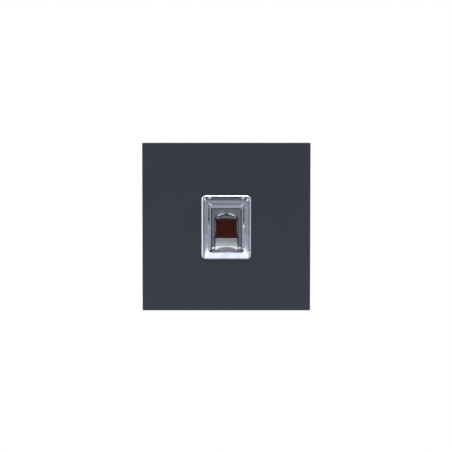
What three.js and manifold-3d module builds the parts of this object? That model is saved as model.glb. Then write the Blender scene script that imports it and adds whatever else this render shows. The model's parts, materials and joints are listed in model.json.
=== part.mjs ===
// Fingerprint scanner terminal: a flush wall module with a square front plate, a stepped finger recess,
// a fixed fingerprint sensor, the electronics behind it and a rear housing that latches into a frame.
//
// Millimetres. +X right, +Z up, the front faces -Y. The origin is the centre of the front plate,
// in the plane of the rim that seats on the mounting frame.

import * as THREE from 'three';
import { mergeVertices } from 'three/addons/utils/BufferGeometryUtils.js';
import Module from 'manifold-3d';

const wasm = await Module();
wasm.setup();

// ---------------------------------------------------------------- driving dimensions

// Front plate
const FACE = 99;
const FACE_RADIUS = 0.6;
const FACE_FRONT = -4;
const FACE_BACK = -1.8;
const RIM_WIDTH = 1.8;

// Bezel and its recess. Heights are measured from the plate's centre.
const BEZEL = { half: 14.5, top: 18.65, bottom: -19.25, radius: 2.4 };
const STEM = { half: 13.9, top: 18.05, bottom: -18.65, radius: 1.8 };
const THROAT = { half: 9.1, top: 10.6, bottom: -14.75, radius: 0.4 };
const LIP_FRONT = -5;
const FLANGE_BACK = -4.05;
const LEDGE_1 = 0.4;
const LEDGE_1_AT = 15.2;
const LEDGE_1_LEAN = 0.03;
const LEDGE_1_BEND = -4;
const LEDGE_1_FOOT = { y: -4.9, z: -18.3 };
const LEDGE_2_RIM = { half: 9.7, top: 12.6, bottom: -15, radius: 1.8 };
const LEDGE_2 = 2.9;
const LEDGE_2_AT = 12.6;
const BEZEL_WALL = 1.8;

// The ledges, the finger guide and the sensor board all lean back by one angle.
const LEAN = THREE.MathUtils.degToRad(9);
const SLOPE = Math.tan(LEAN);
const GUIDE_Y = 0.8;
const GUIDE_Z = -2.1;

// Finger guide and sensor, in the leaning frame
const GUIDE_WIDTH = 17.3;
const GUIDE_HEIGHT = 25.1;
const GUIDE_DEPTH = 3.5;
const GROOVE_HALF = 7.4;
const GROOVE_DEPTH = 2;
const GROOVE_CENTRE = 4;
const GROOVE_FOOT = -9.6;
const SENSOR_WIDTH = 11.9;
const SENSOR_HEIGHT = 11.2;
const SENSOR_Z = 1;
const BOARD_FRONT = 4.7;
const BOARD_THICK = 1;
const CLAMP_PLANE = 6.5;
const CLAMP_X = 11.2;
const CLAMP_Z = [13.5, -13.5];

// Rear housing
const SHELL = 90;
const SHELL_WALL = 2;
const SHELL_FRONT = -1.5;
const SHELL_BACK = 37;
const SHELL_FLOOR = SHELL_BACK - SHELL_WALL;
const POST = 38.5;
const POST_SIZE = 9;
const POST_FRONT = 10;
const PILLAR_X = 37;
const PILLAR_Z = 22;

// Main board
const MAIN_FRONT = 20;
const MAIN_BACK = 21.6;
const MAIN_HALF = 41;
const MAIN_NOTCH = 8.4;
const SOLDER = 0.1;

// Side latches
const LATCH_TIP = 47.6;
const LATCH_FACE = 3;
const LATCH_BACK = 9;
const LATCH_HALF = 6;

// Rear controls
const PLUG_POLES = 6;
const PLUG_PITCH = 5.08;
const PLUG_Z = -30.5;
const DIP_X = 24;
const DIP_Z = -10;
const DIP_PITCH = 2.54;
const DIP_RAISED = [false, true, false, false];
const DIP_TRAVEL = 1.5;
const SERVICE_X = -26;
const SERVICE_Z = -10;
const TAMPER_Z = 30;

const GAP = 0.3;
const CORNER_STEPS = 4;
const SIDE_STEPS = 8;
const ROUND_SIDES = 12;
const COIL_SIDES = 5;
const COIL_STEPS = 9;

// ---------------------------------------------------------------- materials

function finish(color, roughness, metalness) {
  return new THREE.MeshStandardMaterial({ color, roughness, metalness });
}

const ANTHRACITE = finish(0x353943, 0.55, 0);
const SILVER = finish(0xb9bfcc, 0.3, 1);
const STEEL = finish(0x8a8a8c, 0.3, 1);
const BRIGHT_STEEL = finish(0xa9abae, 0.3, 1);
const SENSOR_RED = finish(0x3b1a12, 0.2, 0);
const BLACK = finish(0x1b1c1f, 0.5, 0);
const RUBBER = finish(0x202124, 0.85, 0);
const CLEAR = finish(0xc9ccd0, 0.1, 0);
const BOARD_GREEN = finish(0x1d4a35, 0.5, 0);
const AMBER = finish(0xa0602a, 0.4, 0);
const IVORY = finish(0xd9d3c2, 0.5, 0);
const HOUSING_GREY = finish(0x2a2c31, 0.65, 0);
const TERMINAL_GREEN = finish(0x2f7a4a, 0.5, 0);
const RELAY_BLUE = finish(0x2d4f86, 0.45, 0);
const FERRITE = finish(0x4a4a4d, 0.7, 0);
const BUTTON_GREY = finish(0xbfc2c6, 0.5, 0);

// ---------------------------------------------------------------- shape helpers

// Outlines are drawn in the X-Z plane.
function roundedRect(halfX, halfZ, radius = 0, x = 0, z = 0, target = new THREE.Shape()) {
  if (radius === 0) {
    target.moveTo(x - halfX, z - halfZ);
    target.lineTo(x + halfX, z - halfZ);
    target.lineTo(x + halfX, z + halfZ);
    target.lineTo(x - halfX, z + halfZ);
    target.closePath();
    return target;
  }
  const inX = halfX - radius;
  const inZ = halfZ - radius;
  const corners = [[inX, inZ], [-inX, inZ], [-inX, -inZ], [inX, -inZ]];
  corners.forEach(([cx, cz], quarter) => {
    const start = quarter * Math.PI / 2;
    target.absarc(x + cx, z + cz, radius, start, start + Math.PI / 2, false);
  });
  target.closePath();
  return target;
}

function polygon(points) {
  return new THREE.Shape(points.map(([a, b]) => new THREE.Vector2(a, b)));
}

// An X-Z outline, drawn out from yFront to yBack.
function slab(outline, yFront, yBack) {
  const options = { depth: yBack - yFront, bevelEnabled: false, curveSegments: CORNER_STEPS - 1 };
  const geometry = new THREE.ExtrudeGeometry(outline, options);
  geometry.rotateX(Math.PI / 2);
  geometry.translate(0, yBack, 0);
  return geometry;
}

// A Y-Z outline, drawn out across X.
function across(outline, xLow, xHigh) {
  const options = { depth: xHigh - xLow, bevelEnabled: false };
  const geometry = new THREE.ExtrudeGeometry(outline, options);
  const cycle = new THREE.Matrix4().set(0, 0, 1, 0, 1, 0, 0, 0, 0, 1, 0, 0, 0, 0, 0, 1);
  geometry.applyMatrix4(cycle);
  geometry.translate(xLow, 0, 0);
  return geometry;
}

function box(xRange, yRange, zRange) {
  const size = [xRange, yRange, zRange].map(([low, high]) => high - low);
  const centre = [xRange, yRange, zRange].map(([low, high]) => (low + high) / 2);
  const geometry = new THREE.BoxGeometry(...size);
  geometry.translate(...centre);
  return geometry;
}

// A rod along Y.
function rod(radius, yFront, yBack, x = 0, z = 0, sides = ROUND_SIDES) {
  const geometry = new THREE.CylinderGeometry(radius, radius, yBack - yFront, sides);
  geometry.translate(x, (yFront + yBack) / 2, z);
  return geometry;
}

// A turned shape round a Y axis. The profile is a list of [radius, y], from the front end to the back end.
function turned(profile, x = 0, z = 0, sides = ROUND_SIDES) {
  const points = profile.map(([radius, y]) => new THREE.Vector2(radius, y));
  const geometry = new THREE.LatheGeometry(points, sides);
  geometry.translate(x, 0, z);
  return geometry;
}

// Moves a shape from the leaning frame to the part's frame.
function lean(geometry) {
  geometry.rotateX(-LEAN);
  geometry.translate(0, GUIDE_Y, GUIDE_Z);
  return geometry;
}

// ---------------------------------------------------------------- booleans

const WELD = 1e-5;

function toSolid(geometry) {
  const bare = geometry.clone();
  bare.deleteAttribute('normal');
  bare.deleteAttribute('uv');
  const merged = mergeVertices(bare, WELD);
  const kept = [];
  for (let i = 0; i < merged.index.count; i += 3) {
    const [a, b, c] = [0, 1, 2].map((k) => merged.index.getX(i + k));
    if (a !== b && b !== c && a !== c) kept.push(a, b, c);
  }
  const vertProperties = new Float32Array(merged.attributes.position.array);
  const triVerts = new Uint32Array(kept);
  return new wasm.Manifold(new wasm.Mesh({ numProp: 3, vertProperties, triVerts }));
}

function toGeometry(solid) {
  const mesh = solid.getMesh();
  const geometry = new THREE.BufferGeometry();
  geometry.setAttribute('position', new THREE.BufferAttribute(mesh.vertProperties, 3));
  geometry.setIndex(new THREE.BufferAttribute(mesh.triVerts, 1));
  geometry.computeVertexNormals();
  return geometry;
}

function join(...shapes) {
  const [first, ...rest] = shapes.map(toSolid);
  return toGeometry(rest.reduce((whole, piece) => whole.add(piece), first));
}

function cut(shape, ...tools) {
  return toGeometry(tools.map(toSolid).reduce((whole, tool) => whole.subtract(tool), toSolid(shape)));
}

// ---------------------------------------------------------------- lofted frames

// A ring of points round a rounded rectangle, each at the depth that its height gives.
function ring({ half, top, bottom, radius }, depth) {
  const corners = [
    [half - radius, top - radius],
    [radius - half, top - radius],
    [radius - half, bottom + radius],
    [half - radius, bottom + radius],
  ];
  const at = (x, z) => new THREE.Vector3(x, depth(z), z);
  return corners.flatMap(([x, z], quarter) => {
    const points = [];
    for (let step = 0; step <= CORNER_STEPS; step++) {
      const angle = (quarter + step / CORNER_STEPS) * Math.PI / 2;
      points.push(at(x + radius * Math.cos(angle), z + radius * Math.sin(angle)));
    }
    const upright = quarter % 2 === 1;
    const [from, to] = quarter === 1 ? [z, bottom + radius] : [z, top - radius];
    for (let step = 1; upright && step < SIDE_STEPS; step++) {
      points.push(at(Math.sign(x) * half, THREE.MathUtils.lerp(from, to, step / SIDE_STEPS)));
    }
    return points;
  });
}

// A frame-shaped solid: each ring joins the next, and the last joins the first.
function frameSolid(rings) {
  const count = rings[0].length;
  const geometry = new THREE.BufferGeometry().setFromPoints(rings.flat());
  const index = [];
  for (let i = 0; i < rings.length; i++) {
    const here = i * count;
    const next = ((i + 1) % rings.length) * count;
    for (let k = 0; k < count; k++) {
      const k1 = (k + 1) % count;
      index.push(here + k, here + k1, next + k1, here + k, next + k1, next + k);
    }
  }
  geometry.setIndex(index);
  return geometry;
}

// ---------------------------------------------------------------- the assembly

const terminal = new THREE.Group();
const sensorStack = new THREE.Group();
sensorStack.position.set(0, GUIDE_Y, GUIDE_Z);
sensorStack.rotation.x = -LEAN;
terminal.add(sensorStack);

function place(name, geometry, material, parent = terminal) {
  const mesh = new THREE.Mesh(geometry, material);
  mesh.name = name;
  parent.add(mesh);
  return mesh;
}

const CORNERS = [[-1, 1], [1, 1], [-1, -1], [1, -1]];

// ---------------------------------------------------------------- front plate and its seal

// The part of space behind a plane of the leaning frame, as a large block.
function behindLeaningPlane(depth) {
  return lean(box([-60, 60], [depth, depth + 60], [-60, 60]));
}

function outlineOf({ half, top, bottom, radius }, grow = 0) {
  return roundedRect(half + grow, (top - bottom) / 2 + grow, radius + grow, 0, (top + bottom) / 2);
}

const BOSS_RADIUS = 3.4;
const BOSS_PILOT = 1.6;
const BOSS_BACK = POST_FRONT - GAP;
const COLLAR_WALL = 1.3;
const SEAL_GROOVE = { depth: 1, front: FACE_FRONT + 0.6, back: FACE_FRONT + 1.6 };
const SPRING_POST_X = [32.9, 34.9];

function frontPlate() {
  const inner = FACE / 2 - RIM_WIDTH;
  const rim = roundedRect(FACE / 2, FACE / 2, FACE_RADIUS);
  rim.holes.push(roundedRect(inner, inner, 0, 0, 0, new THREE.Path()));
  const collar = cut(
    slab(outlineOf(STEM, GAP + COLLAR_WALL), FACE_BACK - 1, 16),
    behindLeaningPlane(CLAMP_PLANE),
  );
  const bosses = CORNERS.map(([x, z]) => rod(BOSS_RADIUS, FACE_BACK - 1, BOSS_BACK, x * POST, z * POST));
  const springPosts = [-1, 1].map((side) => {
    const xRange = SPRING_POST_X.map((x) => x * side).sort((a, b) => a - b);
    return box(xRange, [FACE_BACK - 1, LATCH_BACK + 0.5], [-5, 5]);
  });
  const body = join(
    slab(roundedRect(FACE / 2, FACE / 2, FACE_RADIUS), FACE_FRONT, FACE_BACK),
    slab(rim, FACE_BACK - 1, 0),
    collar,
    ...bosses,
    ...springPosts,
  );
  return cut(
    body,
    slab(outlineOf(STEM, GAP), FACE_FRONT - 1, 20),
    slab(outlineOf(STEM, SEAL_GROOVE.depth), SEAL_GROOVE.front, SEAL_GROOVE.back),
    ...CORNERS.map(([x, z]) => rod(BOSS_PILOT, 0, BOSS_BACK + 1, x * POST, z * POST)),
  );
}

function squareRing(halfOut, halfIn, yFront, yBack) {
  const outline = roundedRect(halfOut, halfOut, 1);
  outline.holes.push(roundedRect(halfIn, halfIn, 0.5, 0, 0, new THREE.Path()));
  return slab(outline, yFront, yBack);
}

// The seal lies in a groove inside the opening, round the bezel's stem.
function bezelSeal() {
  const outline = outlineOf(STEM, SEAL_GROOVE.depth - 0.1);
  const middle = (STEM.top + STEM.bottom) / 2;
  const tall = (STEM.top - STEM.bottom) / 2;
  outline.holes.push(roundedRect(STEM.half + 0.35, tall + 0.35, STEM.radius, 0, middle, new THREE.Path()));
  return slab(outline, SEAL_GROOVE.front + 0.1, SEAL_GROOVE.back - 0.1);
}

place('front_plate', frontPlate(), ANTHRACITE);
place('plate_seal', squareRing(47.4, 45.4, SHELL_FRONT, 0.5), RUBBER);
place('bezel_seal', bezelSeal(), RUBBER);

// ---------------------------------------------------------------- bezel

const flat = (y) => () => y;
const ledge2 = (z) => LEDGE_2 + (z - LEDGE_2_AT) * SLOPE;

// The outer ledge is nearly upright at the top, and bends forward below into the scoop for the finger.
function ledge1(z) {
  const bendY = LEDGE_1 + (LEDGE_1_BEND - LEDGE_1_AT) * LEDGE_1_LEAN;
  if (z > LEDGE_1_BEND) return LEDGE_1 + (z - LEDGE_1_AT) * LEDGE_1_LEAN;
  const share = (LEDGE_1_BEND - z) / (LEDGE_1_BEND - LEDGE_1_FOOT.z);
  return bendY + (LEDGE_1_FOOT.y - bendY) * share ** 2;
}

const bezelBack = (z) => ledge2(z) + BEZEL_WALL;

function inset({ half, top, bottom, radius }, by) {
  return { half: half - by, top: top - by, bottom: bottom + by, radius: radius - by };
}

// The throat runs square to the leaning guide, so its back end is lower than its front end.
const THROAT_DROP = BEZEL_WALL * SLOPE;
const throatBack = { ...THROAT, top: THROAT.top - THROAT_DROP, bottom: THROAT.bottom - THROAT_DROP };

function scannerBezel() {
  const body = frameSolid([
    ring(BEZEL, flat(FLANGE_BACK)),
    ring(BEZEL, flat(LIP_FRONT + 0.3)),
    ring(inset(BEZEL, 0.3), flat(LIP_FRONT)),
    ring(inset(BEZEL, 0.75), flat(LIP_FRONT)),
    ring({ half: 12.6, top: LEDGE_1_AT, bottom: -17.9, radius: 1 }, ledge1),
    ring({ half: 10.9, top: 13.5, bottom: -15.3, radius: 0.8 }, ledge1),
    ring(LEDGE_2_RIM, ledge2),
    ring(THROAT, ledge2),
    ring(throatBack, bezelBack),
    ring(STEM, bezelBack),
    ring(STEM, flat(FLANGE_BACK)),
  ]);
  const screwPlaces = [-1, 1].flatMap((side) => CLAMP_Z.map((z) => [side * CLAMP_X, z]));
  const bosses = screwPlaces.map(([x, z]) => lean(rod(1.7, 1.2, CLAMP_PLANE, x, z)));
  const pilots = screwPlaces.map(([x, z]) => lean(rod(1.15, 2.6, CLAMP_PLANE + 1, x, z)));
  return cut(join(body, ...bosses), ...pilots);
}

place('scanner_bezel', scannerBezel(), SILVER);

// ---------------------------------------------------------------- finger guide and sensor (leaning frame)

const SENSOR_POCKET = GAP + SENSOR_WIDTH / 2;
const PIP_Z = 8;
const LIP_RISE = 0.65;

// The groove is the path of a ball that rolls up the guide and stops below its top edge.
function grooveTool() {
  const ball = (GROOVE_HALF ** 2 + GROOVE_DEPTH ** 2) / (2 * GROOVE_DEPTH);
  const arc = Array.from({ length: 11 }, (_, i) => {
    const angle = i * Math.PI / 20;
    return [ball * Math.cos(angle), GROOVE_CENTRE + ball * Math.sin(angle)];
  });
  arc[arc.length - 1][0] = 0;
  const foot = [[0, GROOVE_FOOT], [ball - GROOVE_DEPTH, GROOVE_FOOT], [ball, GROOVE_FOOT + GROOVE_DEPTH]];
  const tool = turned([...foot, ...arc], 0, 0, 60);
  tool.rotateX(Math.PI / 2);
  tool.translate(0, GROOVE_DEPTH - ball, 0);
  return tool;
}

function fingerGuide() {
  const half = GUIDE_WIDTH / 2;
  const tall = GUIDE_HEIGHT / 2;
  const endLip = polygon([
    [0.2, 2.2 - tall],
    [-LIP_RISE, 1.5 - tall],
    [-LIP_RISE, 0.4 - tall],
    [0.2, 0.02 - tall],
  ]);
  const block = join(
    slab(roundedRect(half, tall, 0.4), 0, GUIDE_DEPTH),
    slab(roundedRect(half, tall + 1.4, 0.4), GUIDE_DEPTH - 1.2, GUIDE_DEPTH),
    across(endLip, -half, half),
  );
  return cut(
    block,
    grooveTool(),
    slab(roundedRect(SENSOR_POCKET, SENSOR_HEIGHT / 2 + GAP, 0.8, 0, SENSOR_Z), -1, GUIDE_DEPTH + 1),
    rod(0.6, -1, GUIDE_DEPTH + 1, 0, PIP_Z, 12),
  );
}

function guideGasket() {
  const tall = GUIDE_HEIGHT / 2;
  const outline = roundedRect(GUIDE_WIDTH / 2 + 0.38, tall + 0.16, 0.5);
  outline.holes.push(roundedRect(GUIDE_WIDTH / 2 + 0.08, tall + 0.06, 0.4, 0, 0, new THREE.Path()));
  return slab(outline, 1, 2);
}

function sensorPackage() {
  const outer = slab(roundedRect(SENSOR_WIDTH / 2, SENSOR_HEIGHT / 2, 0.6, 0, SENSOR_Z), 2.1, 4.6);
  const seat = slab(roundedRect(5.1, 5.1, 0.2, 0, SENSOR_Z), 1, 3.1);
  return cut(outer, seat);
}

function lightPipe() {
  return turned([[0, 1.3], [0.45, 1.3], [0.45, 3.7], [0.9, 3.7], [0.9, 4.5], [0, 4.5]], 0, PIP_Z, 12);
}

// A leaf of spring strip that stands on the sensor board and presses on the back of the guide.
function earthSpring() {
  const foot = [[4.6, -12], [4.6, -8.6], [4.4, -8.6], [4.4, -11.4]];
  const leaf = [[3.7, -9.6], [3.55, -9.7], [4.3, -12]];
  return across(polygon([...foot, ...leaf]), -1.6, 1.6);
}

place('finger_guide', fingerGuide(), STEEL, sensorStack);
place('guide_gasket', guideGasket(), RUBBER, sensorStack);
place('sensor_package', sensorPackage(), BLACK, sensorStack);
place('sensor_window', slab(roundedRect(4.95, 4.95, 0.15, 0, SENSOR_Z), 2.4, 3), SENSOR_RED, sensorStack);
place('light_pipe', lightPipe(), CLEAR, sensorStack);
place('earth_spring', earthSpring(), BRIGHT_STEEL, sensorStack);

// ---------------------------------------------------------------- sensor board and clamp bracket

const BRACKET_FRONT = CLAMP_PLANE + GAP;
const BRACKET_BACK = BRACKET_FRONT + 1.4;
const FLEX_HALF = 4;
const SOCKET_HALF = 5.5;
const SENSOR_SOCKET_Z = [-9.5, -5];
const MAIN_SOCKET_Z = [-28.3, -24];

function sensorBracket() {
  const plate = slab(roundedRect(15.1, 20.2, 1.5, 0, 1.4), BRACKET_FRONT, BRACKET_BACK);
  const boardBack = BOARD_FRONT + BOARD_THICK + SOLDER;
  const ribs = [-8.6, 8.6].map((x) => box([x - 0.5, x + 0.5], [boardBack, BRACKET_FRONT + 0.2], [-12, 12]));
  const holes = [-1, 1].flatMap((side) => CLAMP_Z.map((z) => rod(1.3, 5, 12, side * CLAMP_X, z)));
  const flexSlot = box([-SOCKET_HALF - 0.7, SOCKET_HALF + 0.7], [5, 12], [-15.8, -4.4]);
  return cut(join(plate, ...ribs), flexSlot, ...holes);
}

// A pan-head screw along Y with its head at the back and a slot across it.
function screw({ head, headTall, shank, length }, yUnderHead, x, z) {
  const tip = yUnderHead - length;
  const top = yUnderHead + headTall;
  const profile = [
    [0, tip],
    [shank * 0.6, tip],
    [shank, tip + shank],
    [shank, yUnderHead],
    [head, yUnderHead],
    [head, top - 0.4],
    [head * 0.8, top],
    [0, top],
  ];
  return cut(
    turned(profile, x, z, 12),
    box([x - head, x + head], [top - 0.5, top + 1], [z - 0.25, z + 0.25]),
  );
}

function socketBody(zRange, yRange) {
  return box([-SOCKET_HALF, SOCKET_HALF], yRange, zRange);
}

// The flat cable leaves the sensor's socket downwards, turns back and enters the main board's socket.
function flexCable() {
  const start = new THREE.Vector3(0, 6.5, SENSOR_SOCKET_Z[0] - GAP);
  const heading = new THREE.Vector3(0, 0, -1);
  const leaning = new THREE.Euler(-LEAN, 0, 0);
  start.applyEuler(leaning).add(new THREE.Vector3(0, GUIDE_Y, GUIDE_Z));
  heading.applyEuler(leaning);
  const curve = new THREE.CubicBezierCurve(
    new THREE.Vector2(start.y, start.z),
    new THREE.Vector2(start.y + heading.y * 4.5, start.z + heading.z * 4.5),
    new THREE.Vector2(MAIN_FRONT - 1.1, MAIN_SOCKET_Z[1] + 5),
    new THREE.Vector2(MAIN_FRONT - 1.1, MAIN_SOCKET_Z[1] + GAP),
  );
  const steps = 24;
  const halfThick = 0.15;
  const side = (sign) => Array.from({ length: steps + 1 }, (_, i) => {
    const along = curve.getTangent(i / steps);
    const offset = new THREE.Vector2(-along.y, along.x).multiplyScalar(sign * halfThick);
    return curve.getPoint(i / steps).add(offset);
  });
  return across(new THREE.Shape([...side(1), ...side(-1).reverse()]), -FLEX_HALF, FLEX_HALF);
}

const BRACKET_SCREW = { head: 1.9, headTall: 1.2, shank: 1, length: 5 };
const boardOutline = roundedRect(9.2, 14.6, 0.8, 0, 0.1);
place('sensor_board', slab(boardOutline, BOARD_FRONT, BOARD_FRONT + BOARD_THICK), BOARD_GREEN, sensorStack);
place('sensor_socket', socketBody(SENSOR_SOCKET_Z, [5.8, 7.2]), IVORY, sensorStack);
place('sensor_bracket', sensorBracket(), HOUSING_GREY, sensorStack);
[-1, 1].flatMap((side) => CLAMP_Z.map((z) => [side * CLAMP_X, z])).forEach(([x, z], i) => {
  place(`bracket_screw_${i + 1}`, screw(BRACKET_SCREW, BRACKET_BACK + 0.1, x, z), BRIGHT_STEEL, sensorStack);
});
place('flex_cable', flexCable(), AMBER);

// ---------------------------------------------------------------- main board and what is soldered to it

function mainBoard() {
  const outline = roundedRect(MAIN_HALF, MAIN_HALF, 1);
  const notches = CORNERS.map(([x, z]) => {
    const range = (sign) => [sign * MAIN_HALF, sign * (MAIN_HALF - MAIN_NOTCH)].sort((a, b) => a - b);
    const [xr, zr] = [range(x), range(z)];
    return box([xr[0] - 1, xr[1] + 1], [MAIN_FRONT - 1, MAIN_BACK + 1], [zr[0] - 1, zr[1] + 1]);
  });
  const holes = CORNERS.map(([x, z]) => rod(1.4, MAIN_FRONT - 1, MAIN_BACK + 1, x * PILLAR_X, z * PILLAR_Z));
  return cut(slab(outline, MAIN_FRONT, MAIN_BACK), ...notches, ...holes);
}

// A block on the board's front (side -1) or back (side 1).
function mounted(side, halfX, halfZ, tall, x, z, radius = 0) {
  const foot = side < 0 ? MAIN_FRONT - SOLDER : MAIN_BACK + SOLDER;
  const yRange = [foot, foot + side * tall].sort((a, b) => a - b);
  return slab(roundedRect(halfX, halfZ, radius, x, z), ...yRange);
}

function mountedCan(radius, tall, x, z) {
  const foot = MAIN_FRONT - SOLDER;
  const top = foot - tall;
  const profile = [[0, top], [radius - 0.5, top], [radius, top + 0.5], [radius, foot], [0, foot]];
  return turned(profile, x, z);
}

function beeper() {
  return cut(mountedCan(6, 6, -26, -20), rod(1, MAIN_FRONT - 7, MAIN_FRONT - 2, -26, -20, 12));
}

place('main_board', mainBoard(), BOARD_GREEN);
place('board_socket', socketBody(MAIN_SOCKET_Z, [MAIN_FRONT - 2.1, MAIN_FRONT - SOLDER]), IVORY);
place('processor', mounted(-1, 7, 7, 1.4, -24, 15), BLACK);
place('memory_chip', mounted(-1, 5, 3, 1, -24, 1), BLACK);
place('inductor', mounted(-1, 4, 4, 4.5, 24, -14, 1), FERRITE);
place('capacitor_1', mountedCan(4, 9, 27, 18), BLACK);
place('capacitor_2', mountedCan(4, 9, 27, 8), BLACK);
place('beeper', beeper(), BLACK);
place('relay_1', mounted(1, 5, 10, 11, -26, 12, 0.5), RELAY_BLUE);
place('relay_2', mounted(1, 5, 10, 11, -13, 12, 0.5), RELAY_BLUE);

// ---------------------------------------------------------------- terminal header and plug

const PLUG_HALF = PLUG_POLES * PLUG_PITCH / 2;
const HEADER_WALL = 1.1;
const HEADER_BACK = MAIN_BACK + 8.7;
const PLUG_BACK = SHELL_BACK - 0.5;
const poles = Array.from({ length: PLUG_POLES }, (_, i) => (i - (PLUG_POLES - 1) / 2) * PLUG_PITCH);

// A block on the plug's centre line.
function mountedWell(halfX, halfZ, yFront, yBack) {
  return slab(roundedRect(halfX, halfZ, 0, 0, PLUG_Z), yFront, yBack);
}

function terminalHeader() {
  const outer = mountedWell(PLUG_HALF + HEADER_WALL, 5.1, MAIN_BACK + SOLDER, HEADER_BACK);
  return cut(outer, mountedWell(PLUG_HALF + 0.1, 4, MAIN_BACK + 2.6, HEADER_BACK + 1));
}

// Wires enter from the back, and each screw clamps its wire from above.
function terminalPlug() {
  const nose = mountedWell(PLUG_HALF - 0.2, 3.7, MAIN_BACK + 3, HEADER_BACK + 1);
  const body = mountedWell(PLUG_HALF + HEADER_WALL, 5.6, HEADER_BACK + GAP, PLUG_BACK);
  const wireDepth = [PLUG_BACK - 4.4, PLUG_BACK + 1];
  const screwDepth = [PLUG_BACK - 5, PLUG_BACK - 1.4];
  const wireHoles = poles.map((x) => box([x - 1.6, x + 1.6], wireDepth, [PLUG_Z - 3.6, PLUG_Z - 0.2]));
  const screwHoles = poles.map((x) => box([x - 1.7, x + 1.7], screwDepth, [PLUG_Z + 1, PLUG_Z + 7]));
  return cut(join(nose, body), ...wireHoles, ...screwHoles);
}

function plugScrew(x) {
  const middle = PLUG_BACK - 3.2;
  const blank = turned([[0, 0], [1.1, 0], [1.1, 2], [1.5, 2], [1.5, 3.6], [0, 3.6]], 0, 0, 12);
  const slotted = cut(blank, box([-2, 2], [3.1, 5], [-0.25, 0.25]));
  slotted.rotateX(Math.PI / 2);
  slotted.translate(x, middle, PLUG_Z + 1.3);
  return slotted;
}

place('terminal_header', terminalHeader(), TERMINAL_GREEN);
place('terminal_plug', terminalPlug(), TERMINAL_GREEN);
poles.forEach((x, i) => place(`plug_screw_${i + 1}`, plugScrew(x), BRIGHT_STEEL));

// ---------------------------------------------------------------- switches, button and plunger

const DIP_TALL = 4;
const DIP_TOP = MAIN_BACK + SOLDER + DIP_TALL;
const dipPlaces = DIP_RAISED.map((raised, i) => ({
  x: DIP_X + (i - (DIP_RAISED.length - 1) / 2) * DIP_PITCH,
  z: DIP_Z + (raised ? 0.5 : -0.5) * DIP_TRAVEL,
}));

function dipSwitch() {
  const slots = dipPlaces.map(({ x }) => {
    const reach = DIP_TRAVEL / 2 + 0.85;
    return box([x - 0.75, x + 0.75], [DIP_TOP - 1.6, DIP_TOP + 1], [DIP_Z - reach, DIP_Z + reach]);
  });
  return cut(mounted(1, 5.6, 3.2, DIP_TALL, DIP_X, DIP_Z), ...slots);
}

function coil(radius, wire, length, turns) {
  class Helix extends THREE.Curve {
    getPoint(t, target = new THREE.Vector3()) {
      const angle = t * turns * 2 * Math.PI;
      const along = wire + t * (length - 2 * wire);
      return target.set(radius * Math.cos(angle), along, radius * Math.sin(angle));
    }
  }
  const section = new THREE.Shape(Array.from({ length: COIL_SIDES }, (_, i) => {
    const angle = i * 2 * Math.PI / COIL_SIDES;
    return new THREE.Vector2(wire * Math.cos(angle), wire * Math.sin(angle));
  }));
  const options = { steps: turns * COIL_STEPS, bevelEnabled: false, extrudePath: new Helix() };
  return new THREE.ExtrudeGeometry(section, options);
}

const SWITCH_TALL = 2.9;
const SWITCH_TOP = MAIN_BACK + SOLDER + SWITCH_TALL;
const STOP_BACK = SHELL_FLOOR - GAP;

function serviceButton() {
  const tip = SWITCH_TOP + 0.8;
  return turned([
    [0, tip],
    [1.4, tip],
    [1.4, STOP_BACK - 1.3],
    [2.9, STOP_BACK - 1.3],
    [2.9, STOP_BACK],
    [1.75, STOP_BACK],
    [1.75, SHELL_BACK - 0.6],
    [1.45, SHELL_BACK - 0.3],
    [0, SHELL_BACK - 0.3],
  ], SERVICE_X, SERVICE_Z);
}

function tamperPlunger() {
  const tip = SWITCH_TOP + 2.4;
  const end = SHELL_BACK + 2.2;
  return turned([
    [0, tip],
    [1.9, tip],
    [1.9, STOP_BACK - 1.4],
    [3.2, STOP_BACK - 1.4],
    [3.2, STOP_BACK],
    [2.1, STOP_BACK],
    [2.1, end - 0.8],
    [1.5, end - 0.2],
    [0, end],
  ], 0, TAMPER_Z);
}

place('dip_switch', dipSwitch(), RELAY_BLUE);
dipPlaces.forEach(({ x, z }, i) => {
  const slider = box([x - 0.55, x + 0.55], [DIP_TOP - 1.3, DIP_TOP + 0.7], [z - 0.7, z + 0.7]);
  place(`dip_slider_${i + 1}`, slider, IVORY);
});
place('service_switch', mounted(1, 3.1, 3.1, SWITCH_TALL, SERVICE_X, SERVICE_Z), BLACK);
place('service_button', serviceButton(), BUTTON_GREY);
place('tamper_switch', mounted(1, 3.1, 3.1, SWITCH_TALL, 0, TAMPER_Z), BLACK);
place('tamper_plunger', tamperPlunger(), IVORY);
const tamperSpring = place(
  'tamper_spring',
  coil(2.5, 0.22, STOP_BACK - 1.5 - (SWITCH_TOP + 0.2), 5),
  BRIGHT_STEEL,
);
tamperSpring.position.set(0, SWITCH_TOP + 0.2, TAMPER_Z);

// ---------------------------------------------------------------- rear housing

const SLEEVE_BACK = SHELL_FLOOR - 0.2;
const COVER_BOSS_FRONT = 32;
const SCREW_SEAT = 33.5;
const HOUSING_SCREW = { head: 2.6, headTall: 2, shank: 1.45, length: 30 };
const BOARD_SCREW = { head: 2.2, headTall: 1.6, shank: 1.1, length: 7 };

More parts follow.
